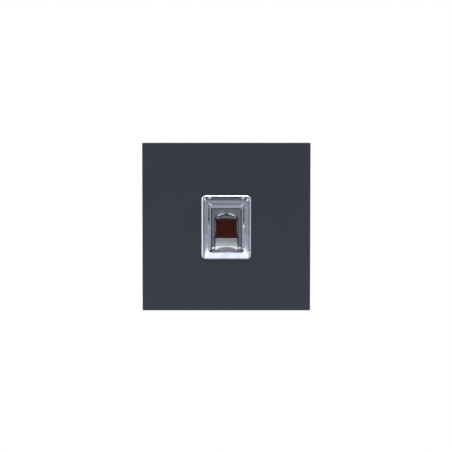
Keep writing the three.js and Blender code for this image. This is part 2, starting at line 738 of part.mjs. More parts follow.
// The sleeve round the electronics, with a hollow post in each corner and a window for each latch.
function housing() {
  const half = SHELL / 2;
  const inner = half - SHELL_WALL;
  const walls = roundedRect(half, half, 2);
  walls.holes.push(roundedRect(inner, inner, 1, 0, 0, new THREE.Path()));
  const posts = CORNERS.map(([x, z]) => {
    const outline = roundedRect(POST_SIZE / 2, POST_SIZE / 2, 0, x * POST, z * POST);
    return slab(outline, POST_FRONT, COVER_BOSS_FRONT - GAP);
  });
  const latchWindow = LATCH_HALF + GAP;
  return cut(
    join(slab(walls, SHELL_FRONT, SLEEVE_BACK), ...posts),
    ...CORNERS.map(([x, z]) => rod(1.75, 0, SHELL_BACK, x * POST, z * POST)),
    box([-60, 60], [LATCH_FACE - GAP, LATCH_BACK + GAP], [-latchWindow, latchWindow]),
  );
}

// The cover that closes the sleeve, carries the main board on pillars and takes the housing screws.
function rearCover() {
  const half = SHELL / 2;
  const plugs = half - SHELL_WALL - GAP;
  const rim = roundedRect(plugs, plugs, 1);
  rim.holes.push(roundedRect(plugs - 1.4, plugs - 1.4, 1, 0, 0, new THREE.Path()));
  const bosses = CORNERS.map(([x, z]) => rod(4.1, COVER_BOSS_FRONT, SHELL_FLOOR + 1, x * POST, z * POST));
  const pillars = CORNERS.map(([x, z]) => {
    return rod(2.6, MAIN_BACK + SOLDER, SHELL_FLOOR + 1, x * PILLAR_X, z * PILLAR_Z);
  });
  const plate = slab(roundedRect(half, half, 2), SHELL_FLOOR, SHELL_BACK);
  return cut(
    join(plate, slab(rim, SHELL_FLOOR - 2, SHELL_FLOOR + 1), ...bosses, ...pillars),
    ...CORNERS.map(([x, z]) => rod(1.75, 30, SHELL_BACK, x * POST, z * POST)),
    ...CORNERS.map(([x, z]) => rod(3, SCREW_SEAT, SHELL_BACK + 1, x * POST, z * POST)),
    ...CORNERS.map(([x, z]) => rod(1.25, 0, MAIN_BACK + 6.5, x * PILLAR_X, z * PILLAR_Z)),
    slab(roundedRect(PLUG_HALF + 2, 6.6, 0.8, 0, PLUG_Z), 30, SHELL_BACK + 1),
    slab(roundedRect(7, 4.6, 0.6, DIP_X, DIP_Z), 30, SHELL_BACK + 1),
    rod(2.05, 30, SHELL_BACK + 1, SERVICE_X, SERVICE_Z),
    rod(2.4, 30, SHELL_BACK + 1, 0, TAMPER_Z),
  );
}

place('housing', housing(), HOUSING_GREY);
place('rear_cover', rearCover(), HOUSING_GREY);
CORNERS.forEach(([x, z], i) => {
  place(`housing_screw_${i + 1}`, screw(HOUSING_SCREW, SCREW_SEAT + 0.1, x * POST, z * POST), BRIGHT_STEEL);
  const boardScrew = screw(BOARD_SCREW, 0, 0, 0);
  boardScrew.rotateX(Math.PI);
  boardScrew.translate(x * PILLAR_X, MAIN_FRONT - 0.1, z * PILLAR_Z);
  place(`board_screw_${i + 1}`, boardScrew, BRIGHT_STEEL);
});

// ---------------------------------------------------------------- side latches

const STOP_FACE = SHELL / 2 - SHELL_WALL - 0.4;
const STOP_INNER = STOP_FACE - 1.4;

// The right-hand latch. Its nose has a flat face that bears on the frame, and a ramp behind it.
function latch() {
  const noseFoot = SHELL / 2 + 0.3;
  const relief = 0.1;
  const nose = polygon([
    [STOP_INNER, LATCH_FACE + relief],
    [noseFoot, LATCH_FACE + relief],
    [noseFoot, LATCH_FACE],
    [LATCH_TIP, LATCH_FACE],
    [LATCH_TIP, LATCH_FACE + 0.9],
    [noseFoot, LATCH_BACK],
    [STOP_INNER, LATCH_BACK],
  ]);
  const bolt = new THREE.ExtrudeGeometry(nose, { depth: 2 * LATCH_HALF, bevelEnabled: false });
  bolt.translate(0, 0, -LATCH_HALF);
  const stop = box([STOP_INNER, STOP_FACE], [LATCH_FACE - 1.1, LATCH_BACK + 1.2], [-7.4, 7.4]);
  const spigot = rod(1.3, 0, 3.2);
  spigot.rotateZ(Math.PI / 2);
  spigot.translate(STOP_INNER + 0.2, (LATCH_FACE + LATCH_BACK) / 2, 0);
  return join(bolt, stop, spigot);
}

function latchSpring() {
  const length = STOP_INNER - 0.1 - (SPRING_POST_X[1] + 0.1);
  const spring = coil(1.9, 0.25, length, 5);
  spring.rotateZ(-Math.PI / 2);
  spring.translate(SPRING_POST_X[1] + 0.1, (LATCH_FACE + LATCH_BACK) / 2, 0);
  return spring;
}

[['right', 0], ['left', Math.PI]].forEach(([side, turn]) => {
  const latchSide = new THREE.Group();
  latchSide.rotation.y = turn;
  terminal.add(latchSide);
  place(`latch_${side}`, latch(), BLACK, latchSide);
  place(`latch_spring_${side}`, latchSpring(), BRIGHT_STEEL, latchSide);
});

export default terminal;
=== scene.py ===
"""Looks of the fingerprint scanner terminal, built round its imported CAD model.

Shapes are built in millimetres in the part's own frame, and a piece is scaled to metres when it is finished.
"""

import json
import math
from types import SimpleNamespace

import bmesh
import bpy
from mathutils import Matrix, Vector

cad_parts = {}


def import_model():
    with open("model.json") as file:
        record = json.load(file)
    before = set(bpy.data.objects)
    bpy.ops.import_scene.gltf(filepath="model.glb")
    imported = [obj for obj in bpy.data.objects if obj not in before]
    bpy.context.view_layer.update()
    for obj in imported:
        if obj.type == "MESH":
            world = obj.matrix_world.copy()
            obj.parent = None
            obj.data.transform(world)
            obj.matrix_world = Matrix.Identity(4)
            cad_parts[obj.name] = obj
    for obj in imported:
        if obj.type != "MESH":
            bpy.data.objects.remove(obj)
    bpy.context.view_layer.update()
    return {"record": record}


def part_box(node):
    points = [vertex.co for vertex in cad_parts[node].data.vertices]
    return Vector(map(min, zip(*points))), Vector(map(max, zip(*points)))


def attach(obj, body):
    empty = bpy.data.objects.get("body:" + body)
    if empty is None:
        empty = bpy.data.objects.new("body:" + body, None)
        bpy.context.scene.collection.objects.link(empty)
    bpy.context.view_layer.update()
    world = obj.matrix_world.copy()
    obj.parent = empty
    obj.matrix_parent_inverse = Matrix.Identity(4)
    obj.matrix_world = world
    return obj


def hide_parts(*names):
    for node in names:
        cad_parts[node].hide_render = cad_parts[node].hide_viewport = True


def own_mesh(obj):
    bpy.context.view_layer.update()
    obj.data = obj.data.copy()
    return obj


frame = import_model()
RECORD = frame["record"]
SLOT_OF = {part["node"]: part["material_slot"] for part in RECORD["subparts"]}
BODY_OF = {node: body for body, nodes in RECORD["behaviour"]["bodies"].items() for node in nodes}

# ---------------------------------------------------------------- measures, in millimetres

MM = 0.001
CORNERS = [(-1, 1), (1, 1), (-1, -1), (1, -1)]


def span(node):
    """A CAD node's box at rest."""
    low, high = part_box(node)
    low, high = low / MM, high / MM
    return SimpleNamespace(low=low, high=high, mid=(low + high) / 2, size=high - low)


FACE = span("front_plate")
FACE_HALF = FACE.size.x / 2
FACE_FRONT = FACE.low.y
RIM_WIDTH = 1.8
FACE_BACK = -RIM_WIDTH
SHELL = span("housing")
SHELL_HALF = SHELL.size.x / 2
SHELL_WALL = 2.0
COVER = span("rear_cover")
COVER_FRONT = COVER.high.y - SHELL_WALL
BOARD = span("main_board")
POST = span("housing_screw_2").mid.x
PILLAR_X = span("board_screw_2").mid.x
PILLAR_Z = span("board_screw_2").mid.z

# Outlines in X-Z: half width, top, bottom, corner radius.
BEZEL = (14.5, 18.65, -19.25, 2.4)
STEM = (13.9, 18.05, -18.65, 1.8)
THROAT = (9.1, 10.6, -14.75, 0.4)
LIP_FRONT = span("scanner_bezel").low.y
FLANGE_BACK = FACE_FRONT - 0.05

# The ledges, the finger guide, the sensor and its board lean back about this point.
LEAN = math.radians(9)
SLOPE = math.tan(LEAN)
LEAN_ORIGIN = Vector((0, 0.8, -2.1))
LEANING = Matrix.Translation(LEAN_ORIGIN) @ Matrix.Rotation(-LEAN, 4, "X")


def leaning_plane(depth):
    """The Y of a plane of the leaning frame, by height."""
    return lambda z: LEAN_ORIGIN.y + depth / math.cos(LEAN) + SLOPE * (z - LEAN_ORIGIN.z)


# ---------------------------------------------------------------- building solids

def make(name, bm):
    """A working object from a bmesh, in millimetres."""
    bmesh.ops.recalc_face_normals(bm, faces=bm.faces)
    mesh = bpy.data.meshes.new(name)
    bm.to_mesh(mesh)
    bm.free()
    solid = bpy.data.objects.new(name, mesh)
    bpy.context.scene.collection.objects.link(solid)
    return solid


def from_rings(rings, closed=False):
    """A loft through rings of points. It is capped at both ends, or joined end to end when closed."""
    bm = bmesh.new()
    loops = [[bm.verts.new(point) for point in ring] for ring in rings]
    pairs = list(zip(loops, loops[1:])) + ([(loops[-1], loops[0])] if closed else [])
    for here, there in pairs:
        for k in range(len(here)):
            after = (k + 1) % len(here)
            bm.faces.new((here[k], here[after], there[after], there[k]))
    if not closed:
        bm.faces.new(loops[0])
        bm.faces.new(loops[-1])
    return make("solid", bm)


def rounded_ring(half, top, bottom, radius, depth, corner_steps=8, side_steps=1):
    """Points round a rounded rectangle in X-Z, each at the depth that its height gives.
    The radius may be a pair, for the upper and the lower corners."""
    at = depth if callable(depth) else (lambda z: depth)
    high, low = (max(r, 0.01) for r in (radius if isinstance(radius, tuple) else (radius, radius)))
    corners = [(half - high, top - high, high), (high - half, top - high, high),
               (low - half, bottom + low, low), (half - low, bottom + low, low)]
    points = []
    for quarter, (x, z, radius) in enumerate(corners):
        for step in range(corner_steps + 1):
            angle = (quarter + step / corner_steps) * math.pi / 2
            height = z + radius * math.sin(angle)
            points.append(Vector((x + radius * math.cos(angle), at(height), height)))
        start, end = {1: (z, bottom + low), 3: (z, top - high)}.get(quarter, (0, 0))
        for step in range(1, side_steps if quarter % 2 else 1):
            height = start + (end - start) * step / side_steps
            points.append(Vector((math.copysign(half, x), at(height), height)))
    return points


def rounded_point(before, point, after, radius, share):
    back, ahead = before - point, after - point
    start = point + back * min(0.48, radius / max(back.length, 1e-6))
    end = point + ahead * min(0.48, radius / max(ahead.length, 1e-6))
    return start.lerp(point, share).lerp(point.lerp(end, share), share)


def soften(rings, radii, steps=4, closed=False):
    """Turns each ring that has a radius into a fan of rings, so that the loft bends smoothly there."""
    result = []
    for i, ring in enumerate(rings):
        if not radii[i] or (not closed and i in (0, len(rings) - 1)):
            result.append(ring)
            continue
        before, after = rings[i - 1], rings[(i + 1) % len(rings)]
        for step in range(steps + 1):
            trios = zip(before, ring, after)
            result.append([rounded_point(*trio, radii[i], step / steps) for trio in trios])
    return result


def tube_of(outline, profile, closed=True, corner_steps=6):
    """A body of rounded rectangles. The outline is (x, z, half width, half height, corner radius),
    and a profile point is (inset, depth, fillet)."""
    x, z, half, tall, corner = outline
    rings = []
    for inset, depth, _ in profile:
        ring = rounded_ring(half - inset, tall - inset, inset - tall, corner - inset, depth, corner_steps)
        rings.append([point + Vector((x, 0, z)) for point in ring])
    return from_rings(soften(rings, [p[2] for p in profile], closed=closed), closed)


def block(x, y, z, corner=0.0, edge=0.0):
    """A block between pairs of X, Y and Z. corner rounds its X-Z outline, edge its front and back."""
    outline = ((x[0] + x[1]) / 2, (z[0] + z[1]) / 2, (x[1] - x[0]) / 2, (z[1] - z[0]) / 2, corner)
    if not edge:
        return tube_of(outline, [(0, y[0], 0), (0, y[1], 0)], closed=False)
    third = edge * 0.3
    front = [(edge, y[0], 0), (third, y[0] + third, 0), (0, y[0] + edge, 0)]
    back = [(0, y[1] - edge, 0), (third, y[1] - third, 0), (edge, y[1], 0)]
    return tube_of(outline, front + back, closed=False)


def turned(profile, x=0.0, z=0.0, sides=40):
    """A shape turned round a Y axis. A profile point is (radius, y) or (radius, y, fillet)."""
    flat = [[Vector((point[0], point[1], 0))] for point in profile]
    smooth = soften(flat, [point[2] if len(point) > 2 else 0 for point in profile])
    turn = [i * 2 * math.pi / sides for i in range(sides)]
    rings = []
    for (point,) in smooth:
        reach = max(point.x, 0.02)
        rings.append([Vector((x + reach * math.cos(a), point.y, z + reach * math.sin(a))) for a in turn])
    return from_rings(rings)


def rod(radius, y, x=0.0, z=0.0, sides=32):
    return turned([(radius, y[0]), (radius, y[1])], x, z, sides)


def prism(outline, low, high, axis="X"):
    """An outline drawn out along X, from (y, z) points, or along Z, from (x, y) points."""
    def place(a, b, along):
        return Vector((along, a, b)) if axis == "X" else Vector((a, b, along))
    return from_rings([[place(a, b, along) for a, b in outline] for along in (low, high)])


def wire(points, radius, sides=10):
    """A round wire along a path, with domed ends."""
    lead = (points[0] - points[1]).normalized() * radius
    tail = (points[-1] - points[-2]).normalized() * radius
    path = [points[0] + lead, points[0] + lead * 0.6, *points, points[-1] + tail * 0.6, points[-1] + tail]
    widths = [0.4, 0.8] + [1] * len(points) + [0.8, 0.4]
    rings = []
    side = lead.orthogonal()
    for i, point in enumerate(path):
        along = (path[min(i + 1, len(path) - 1)] - path[max(i - 1, 0)]).normalized()
        side = (side - along * side.dot(along)).normalized()
        up = along.cross(side)
        ring = []
        for k in range(sides):
            angle = k * 2 * math.pi / sides
            ring.append(point + (side * math.cos(angle) + up * math.sin(angle)) * radius * widths[i])
        rings.append(ring)
    return from_rings(rings)


def bake(solid):
    """Applies a working object's modifiers."""
    shaped = solid.evaluated_get(bpy.context.evaluated_depsgraph_get())
    mesh = bpy.data.meshes.new_from_object(shaped)
    solid.modifiers.clear()
    old, solid.data = solid.data, mesh
    bpy.data.meshes.remove(old)
    return solid


def combine(operation, base, tools):
    group = bpy.data.collections.new("tools")
    for tool in tools:
        group.objects.link(tool)
    modifier = base.modifiers.new("combine", "BOOLEAN")
    modifier.operation = operation
    modifier.operand_type = "COLLECTION"
    modifier.collection = group
    modifier.solver = "EXACT"
    bake(base)
    for tool in tools:
        bpy.data.meshes.remove(tool.data)
    bpy.data.collections.remove(group)
    return base


def join(base, *tools):
    return combine("UNION", base, tools)


def cut(base, *tools):
    return combine("DIFFERENCE", base, tools)


def moved(solid, matrix):
    solid.data.transform(matrix)
    return solid


def put(solid, place, degrees=0, axis="X"):
    """Turns a solid about its origin, then moves it to a place."""
    return moved(solid, Matrix.Translation(place) @ Matrix.Rotation(math.radians(degrees), 4, axis))


def lean(solid):
    return moved(solid, LEANING)


def bevelled(solid, width, segments=2, angle=40):
    modifier = solid.modifiers.new("bevel", "BEVEL")
    modifier.width = width
    modifier.segments = segments
    modifier.limit_method = "ANGLE"
    modifier.angle_limit = math.radians(angle)
    modifier.use_clamp_overlap = True
    return bake(solid)


def mark_wear_and_edge_highlight(mesh):
    """Marks the narrow faces that run along outer edges, where a surface rubs bright and where a highlight
    along the edge is painted.
    """
    bm = bmesh.new()
    bm.from_mesh(mesh)
    bm.normal_update()
    layer = bm.faces.layers.float.new("wear_and_edge_highlight")
    narrow, bent = 0.6 * MM, math.radians(6)
    for face in bm.faces:
        edges = sorted(face.edges, key=lambda edge: -edge.calc_length())[:2]
        turns = [edge.calc_face_angle_signed(0.0) for edge in edges if len(edge.link_faces) == 2]
        if face.calc_area() < narrow * edges[0].calc_length() and turns and min(turns) > bent:
            face[layer] = 1.0
    bm.to_mesh(mesh)
    bm.free()


def finish(solid, name, body, slot, smooth=35):
    """Turns a working object into a piece of the model: scaled, shaded, and riding on its body."""
    solid.name = name
    mesh = solid.data
    mesh.name = name
    mesh.transform(Matrix.Scale(MM, 4))
    bm = bmesh.new()
    bm.from_mesh(mesh)
    bmesh.ops.remove_doubles(bm, verts=bm.verts, dist=2e-7)
    bmesh.ops.dissolve_degenerate(bm, edges=bm.edges, dist=2e-7)
    bm.to_mesh(mesh)
    bm.free()
    mark_wear_and_edge_highlight(mesh)
    mesh.shade_smooth()
    mesh.set_sharp_from_angle(angle=math.radians(smooth))
    weights = solid.modifiers.new("normals", "WEIGHTED_NORMAL")
    weights.keep_sharp = True
    mesh.materials.clear()
    mesh.materials.append(MATERIALS[slot])
    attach(solid, body)
    return solid


def stand_for(node, solid, smooth=35):
    """Finishes a piece that stands for a CAD node, with that node's body and material slot."""
    finish(solid, f"{node}_detailed", BODY_OF[node], SLOT_OF[node], smooth)
    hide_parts(node)
    return solid


# ---------------------------------------------------------------- materials

class Graph:
    """A node material, built from short calls. Noise scales are per metre of the object."""

    def __init__(self, name):
        self.material = bpy.data.materials.new(name)
        self.material.use_nodes = True
        self.tree = self.material.node_tree
        self.shader = self.tree.nodes["Principled BSDF"]
        self.place = self.add("ShaderNodeTexCoord").outputs["Object"]

    def add(self, kind, inputs=None, **settings):
        made = self.tree.nodes.new(kind)
        for key, value in settings.items():
            setattr(made, key, value)
        for key, value in (inputs or {}).items():
            if isinstance(value, bpy.types.NodeSocket):
                self.tree.links.new(value, made.inputs[key])
            else:
                made.inputs[key].default_value = value
        return made

    def noise(self, scale, detail=3.0):
        made = self.add("ShaderNodeTexNoise", {"Vector": self.place, "Scale": scale, "Detail": detail})
        return made.outputs["Fac"]

    def remap(self, value, low, high, to_low, to_high):
        inputs = {"Value": value, "From Min": low, "From Max": high, "To Min": to_low, "To Max": to_high}
        return self.add("ShaderNodeMapRange", inputs).outputs["Result"]

    def times(self, a, b):
        return self.add("ShaderNodeMath", {0: a, 1: b}, operation="MULTIPLY").outputs[0]

    def mix(self, factor, a, b):
        made = self.add("ShaderNodeMix", data_type="RGBA")
        for key, value in ((0, factor), (6, a), (7, b)):
            if isinstance(value, bpy.types.NodeSocket):
                self.tree.links.new(value, made.inputs[key])
            else:
                made.inputs[key].default_value = value
        return made.outputs[2]

    def attribute(self, name):
        return self.add("ShaderNodeAttribute", attribute_name=name).outputs["Fac"]

    def bump(self, height, distance, normal=None):
        inputs = {"Height": height, "Distance": distance, "Strength": 1.0}
        if normal:
            inputs["Normal"] = normal
        return self.add("ShaderNodeBump", inputs).outputs["Normal"]

    def feed(self, **sockets):
        for key, value in sockets.items():
            socket = self.shader.inputs[key.replace("_", " ")]
            if isinstance(value, bpy.types.NodeSocket):
                self.tree.links.new(value, socket)
            else:
                socket.default_value = value


def shade(color, by):
    return (*(min(1.0, c * by) for c in color), 1.0)


def surface(slot, color, roughness, metallic=0.0, drift=0.06, cloud=70, grain=((2600, 6e-6),),
            worn_and_highlit=1.35, worn_roughness=-0.12, specular=0.5, coat=0.0):
    """A finish with colour that drifts, uneven gloss, edges painted lighter for rubbing wear and for a
    painted highlight along them, and a fine grain, which is given as pairs of scale and height in metres."""
    graph = Graph(slot)
    clouds = graph.noise(cloud, 4.0)
    base = graph.mix(graph.remap(clouds, 0.3, 0.7, 0, 1), shade(color, 1 - drift), shade(color, 1 + drift))
    specks = graph.remap(graph.noise(cloud * 9, 5.0), 0.62, 0.75, 0, drift * 2)
    base = graph.mix(specks, base, shade(color, 1 - 3 * drift))
    patches = graph.remap(graph.noise(420, 4.0), 0.42, 0.62, 0.1, 1.0)
    rubbed_and_highlit = graph.times(graph.attribute("wear_and_edge_highlight"), patches)
    # Edge faces are painted lighter here: partly rubbing wear, partly a painted highlight along the edge.
    base = graph.mix(rubbed_and_highlit, base, shade(color, worn_and_highlit))
    uneven = graph.remap(graph.noise(cloud * 3, 5.0), 0.25, 0.75, roughness - 0.05, roughness + 0.05)
    gloss = graph.mix(rubbed_and_highlit, uneven, (max(roughness + worn_roughness, 0.05),) * 3 + (1.0,))
    normal = None
    for scale, height in grain:
        normal = graph.bump(graph.noise(scale, 3.0), height, normal)
    graph.feed(Base_Color=base, Metallic=metallic, Roughness=gloss, Normal=normal)
    graph.feed(Specular_IOR_Level=specular, Coat_Weight=coat, Coat_Roughness=0.12)
    return graph.material


MATERIALS = {
    # The plate's lighter edges, on its 0.6 mm edge fillet, are partly wear and partly a painted highlight.
    "anthracite_plastic": surface("anthracite_plastic", (0.026, 0.031, 0.043), 0.55, drift=0.03,
                                  grain=((3800, 9e-6), (1500, 5e-6)), worn_and_highlit=1.7, specular=0.4),
    "satin_silver": surface("satin_silver", (0.70, 0.73, 0.80), 0.17, 1.0, drift=0.015, worn_and_highlit=1.2,
                            grain=((5200, 3e-7),), worn_roughness=-0.03),
    "guide_metal": surface("guide_metal", (0.32, 0.32, 0.33), 0.2, 1.0, drift=0.06, worn_and_highlit=1.6,
                           grain=((4200, 1.5e-6),), worn_roughness=-0.05),
    "sensor_coating": surface("sensor_coating", (0.046, 0.0095, 0.0055), 0.35, drift=0.12, cloud=190,
                              grain=((9000, 1e-6),), specular=0.05),
    "sensor_black": surface("sensor_black", (0.034, 0.0105, 0.008), 0.35, grain=((5000, 3e-6),),
                            specular=0.3),
    "clear_plastic": surface("clear_plastic", (0.45, 0.46, 0.48), 0.15, drift=0.04, grain=((3000, 1e-6),)),
    "black_rubber": surface("black_rubber", (0.014, 0.014, 0.016), 0.75, grain=((2400, 1.2e-5),),
                            worn_and_highlit=1.8, specular=0.3),
    "black_plastic": surface("black_plastic", (0.018, 0.019, 0.021), 0.42, worn_and_highlit=1.8),
    "housing_plastic": surface("housing_plastic", (0.024, 0.026, 0.031), 0.6, worn_and_highlit=2.0,
                               grain=((1700, 2.2e-5), (5200, 8e-6))),
    "circuit_board": surface("circuit_board", (0.010, 0.065, 0.035), 0.3, drift=0.1,
                             grain=((2600, 3e-6),), worn_and_highlit=3.0, coat=0.3),
    "chip_black": surface("chip_black", (0.015, 0.015, 0.016), 0.5, grain=((5200, 6e-6),)),
    "ferrite": surface("ferrite", (0.07, 0.07, 0.075), 0.7, grain=((1800, 2e-5),)),
    "capacitor_sleeve": surface("capacitor_sleeve", (0.02, 0.02, 0.03), 0.3, grain=((1200, 6e-6),)),
    "relay_blue": surface("relay_blue", (0.025, 0.08, 0.25), 0.3, grain=((2000, 4e-6),)),
    "switch_blue": surface("switch_blue", (0.02, 0.07, 0.22), 0.4, grain=((2600, 6e-6),)),
    "terminal_green": surface("terminal_green", (0.03, 0.20, 0.08), 0.42, drift=0.07,
                              grain=((2300, 8e-6),), worn_and_highlit=1.5),
    "ivory_plastic": surface("ivory_plastic", (0.68, 0.65, 0.55), 0.45, drift=0.03, worn_and_highlit=1.1),
    "button_grey": surface("button_grey", (0.5, 0.51, 0.53), 0.45, drift=0.03, worn_and_highlit=1.15),
    "flex_film": surface("flex_film", (0.36, 0.12, 0.02), 0.25, drift=0.1, grain=((1500, 3e-6),)),
    "spring_steel": surface("spring_steel", (0.52, 0.53, 0.55), 0.25, 1.0, grain=((4200, 2e-6),), worn_and_highlit=1.1),
    "screw_steel": surface("screw_steel", (0.55, 0.56, 0.58), 0.3, 1.0, drift=0.08,
                           grain=((2600, 4e-6),), worn_and_highlit=1.2),
}


# ---------------------------------------------------------------- front plate

def face_ring(half, depth, radius=0.6):
    return rounded_ring(half, half, -half, radius, depth)


def stem_ring(grow, depth):
    half, top, bottom, radius = STEM
    return rounded_ring(half + grow, top + grow, bottom - grow, radius + grow, depth)


def front_plate():
    """A shallow tray: face, rim all round, a collar round the opening and a boss in each corner."""
    collar_back = leaning_plane(6.5)
    inner = FACE_HALF - RIM_WIDTH
    rings = [
        (face_ring(FACE_HALF, 0), 0.2),
        (face_ring(FACE_HALF, FACE_FRONT), 0.6),
        (stem_ring(0.3, FACE_FRONT), 0.1),
        (stem_ring(0.3, FACE_FRONT + 0.6), 0),
        (stem_ring(1, FACE_FRONT + 0.6), 0.1),
        (stem_ring(1, FACE_FRONT + 1.6), 0.1),
        (stem_ring(0.3, FACE_FRONT + 1.6), 0),
        (stem_ring(0.3, collar_back), 0.3),
        (stem_ring(1.6, collar_back), 0.3),
        (stem_ring(1.6, FACE_BACK), 0.7),
        (face_ring(inner, FACE_BACK), 0.7),
        (face_ring(inner, 0), 0.2),
    ]
    plate = from_rings(soften(*zip(*rings), closed=True), closed=True)
    bosses = []
    for x, z in CORNERS:
        foot = [(4.4, FACE_BACK - 0.4), (4.4, FACE_BACK), (3.4, FACE_BACK + 1.2, 0.6)]
        bosses.append(turned([*foot, (3.4, 9.7, 0.3), (2.4, 9.7)], x * POST, z * POST))
    posts = []
    for side in (-1, 1):
        x = sorted((side * 32.9, side * 34.9))
        posts.append(block(x, (FACE_BACK - 0.5, 9.5), (-5, 5), 0.3, 0.3))
    join(plate, *bosses, *posts)
    pilots = [rod(1.6, (0.5, 12), x * POST, z * POST) for x, z in CORNERS]
    return cut(plate, *pilots)


def plate_seal():
    """A sponge ring with a lip that spreads against the mounting frame."""
    profile = [(0, -1.3, 0.3), (0, 0.1, 0.2), (0.5, 0.5, 0.15), (0.8, 0.1, 0.15), (1.2, 0.1, 0.15),
               (1.5, 0.5, 0.15), (2, 0.1, 0.2), (2, -1.5, 0.2), (0.2, -1.5, 0.2)]
    return tube_of((0, 0, 47.4, 47.4, 1), profile)


def bezel_seal():
    """A soft ring in the groove of the opening, round the bezel's stem."""
    box = span("bezel_seal")
    outline = (0, box.mid.z, box.size.x / 2, box.size.z / 2, STEM[3] + 0.9)
    front, back = box.low.y, box.high.y
    return tube_of(outline, [(0, front, 0.25), (0, back, 0.25), (0.5, back, 0.25), (0.5, front, 0.25)])


stand_for("front_plate", front_plate())
stand_for("plate_seal", plate_seal())
stand_for("bezel_seal", bezel_seal())


# ---------------------------------------------------------------- bezel

def ledge_1(z):
    """The outer ledge: nearly upright at the top, bending forward below into the scoop for the finger."""
    bend, foot, foot_y = -4, -18.3, -4.9
    upright = 0.4 + (max(z, bend) - 15.2) * 0.03
    share = max(bend - z, 0) / (bend - foot)
    return upright + (foot_y - upright) * share ** 2


def ledge_2(z):
    return 2.9 + (z - 12.6) * SLOPE


def scanner_bezel():
    """A plated frame: a rounded lip, then two ledges that step down to the finger guide."""
    wall = 1.8
    drop = wall * SLOPE
    back = lambda z: ledge_2(z) + wall
    half, top, bottom, radius = BEZEL
    lip = 0.75
    rings = [
        ((half, top, bottom, radius, FLANGE_BACK), 0.1),
        ((half, top, bottom, radius, LIP_FRONT + 0.42), 0.1),
        ((half - 0.5, top - 0.5, bottom + 0.5, radius - 0.5, LIP_FRONT), 0.1),
        ((half - lip, top - lip, bottom + lip, radius - lip, LIP_FRONT), 0.15),
        ((12.6, 15.2, -17.9, 1.0, ledge_1), 0.25),
        ((10.9, 13.5, -15.3, (0.8, 2.2), ledge_1), 0.25),
        ((9.7, 12.6, -15.0, 1.8, ledge_2), 0.3),
        ((*THROAT, ledge_2), 0.12),
        ((THROAT[0], THROAT[1] - drop, THROAT[2] - drop, THROAT[3], back), 0.15),
        ((*STEM, back), 0.3),
        ((*STEM, FLANGE_BACK), 0.15),
    ]
    loops = [rounded_ring(*ring, corner_steps=10, side_steps=40) for ring, _ in rings]
    body = from_rings(soften(loops, [fillet for _, fillet in rings], steps=6, closed=True), closed=True)
    places = [(x * 11.2, z * 13.5) for x, z in CORNERS]
    join(body, *[lean(turned([(1.7, 1.2), (1.7, 6.5, 0.2), (1.2, 6.5)], x, z)) for x, z in places])
    return cut(body, *[lean(rod(1.15, (2.6, 7.5), x, z)) for x, z in places])


stand_for("scanner_bezel", scanner_bezel())


# ---------------------------------------------------------------- finger guide

GUIDE_HALF = span("finger_guide").size.x / 2
GUIDE_TALL = 12.55
GUIDE_THICK = 3.5
GROOVE_HALF = 7.4
GROOVE_DEPTH = 2.0
GROOVE_CENTRE = 4.0
GROOVE_BALL = (GROOVE_HALF ** 2 + GROOVE_DEPTH ** 2) / (2 * GROOVE_DEPTH)
GROOVE_ROUNDING = 5.6
RAMP_TOP = -5.0
RAMP_TALL = 4.3
RAMP_RISE = 1.15
FOOT_TOP = -9.35
FOOT_SLOPE = 0.62
EDGE_RADIUS = 0.18
SENSOR_Z = 1.0
POCKET_HALF = 6.25
POCKET_TALL = 5.9
PIP_Z = 8.0


def smooth_step(low, high, value):
    share = min(max((value - low) / (high - low), 0.0), 1.0)
    return share * share * (3 - 2 * share)


def smooth_max(a, b, blend):
    share = min(max(0.5 + 0.5 * (a - b) / blend, 0.0), 1.0)
    return b + (a - b) * share + blend * share * (1 - share)


def groove(x, z):
    """Depth of the finger groove: a shallow bowl round the sensor, and a flat-floored ramp below it."""
    reach = math.hypot(x, max(z - GROOVE_CENTRE, 0))
    bowl = math.sqrt(max(GROOVE_BALL ** 2 - reach ** 2, 0)) - GROOVE_BALL + GROOVE_DEPTH
    rise = max(reach - GROOVE_ROUNDING, 0) / (GROOVE_HALF - GROOVE_ROUNDING)
    sides = min(bowl + 0.35, GROOVE_DEPTH * 0.55 * (1 - rise ** 2) + 0.6 * bowl)
    arch = 0.95 * GROOVE_DEPTH * (1 - min(reach / GROOVE_HALF, 1.1) ** 6)
    turn = smooth_step(0, 4, z - GROOVE_CENTRE)
    rounded = sides * (1 - turn) + arch * turn
    ramp = max(RAMP_TOP - z, 0) / RAMP_TALL
    floor = GROOVE_DEPTH - RAMP_RISE * ramp ** 1.15
    flat = floor * (1 - smooth_step(6.3, 7.6, abs(x)))
    share = smooth_step(3.6, 5.2, -z)
    return smooth_max(rounded * (1 - share) + flat * share, 0.0, 0.2)


def guide_depth(x, z):
    """Depth of the guide's face behind its front plane: the groove, then an arched slope at its foot that
    widens to both sides, and a lip that leans forward."""
    across = min(abs(x) / 7.5, 1.1)
    top = FOOT_TOP - 0.75 * across ** 2.5
    fall = top - z
    if fall > 0:
        slope = max(groove(x, top) - FOOT_SLOPE * fall, -0.6)
        lip = 0.6 - 1.0 * across ** 2 - 0.25 * fall
        depth = smooth_max(slope, lip, 0.12)
    else:
        depth = groove(x, z)
    past = max(abs(x) - POCKET_HALF, abs(z - SENSOR_Z) - POCKET_TALL)
    depth += 0.12 * (1 - smooth_step(0, 0.3, past)) * smooth_step(-0.2, 0.6, groove(x, z))
    edge = min(GUIDE_HALF - abs(x), GUIDE_TALL - abs(z))
    inside = min(edge / EDGE_RADIUS, 1.0)
    return depth + EDGE_RADIUS * (1 - math.sqrt(max(1 - (1 - inside) ** 2, 0.0)))


def graded(reach, step, fine):
    """Places from -reach to reach, closer together near both ends."""
    ends = [fine * k for k in range(6)]
    count = round(2 * (reach - ends[-1]) / step)
    middle = [-reach + ends[-1] + 2 * (reach - ends[-1]) * k / count for k in range(count + 1)]
    return [-reach + e for e in ends[:-1]] + middle + [reach - e for e in reversed(ends[:-1])]


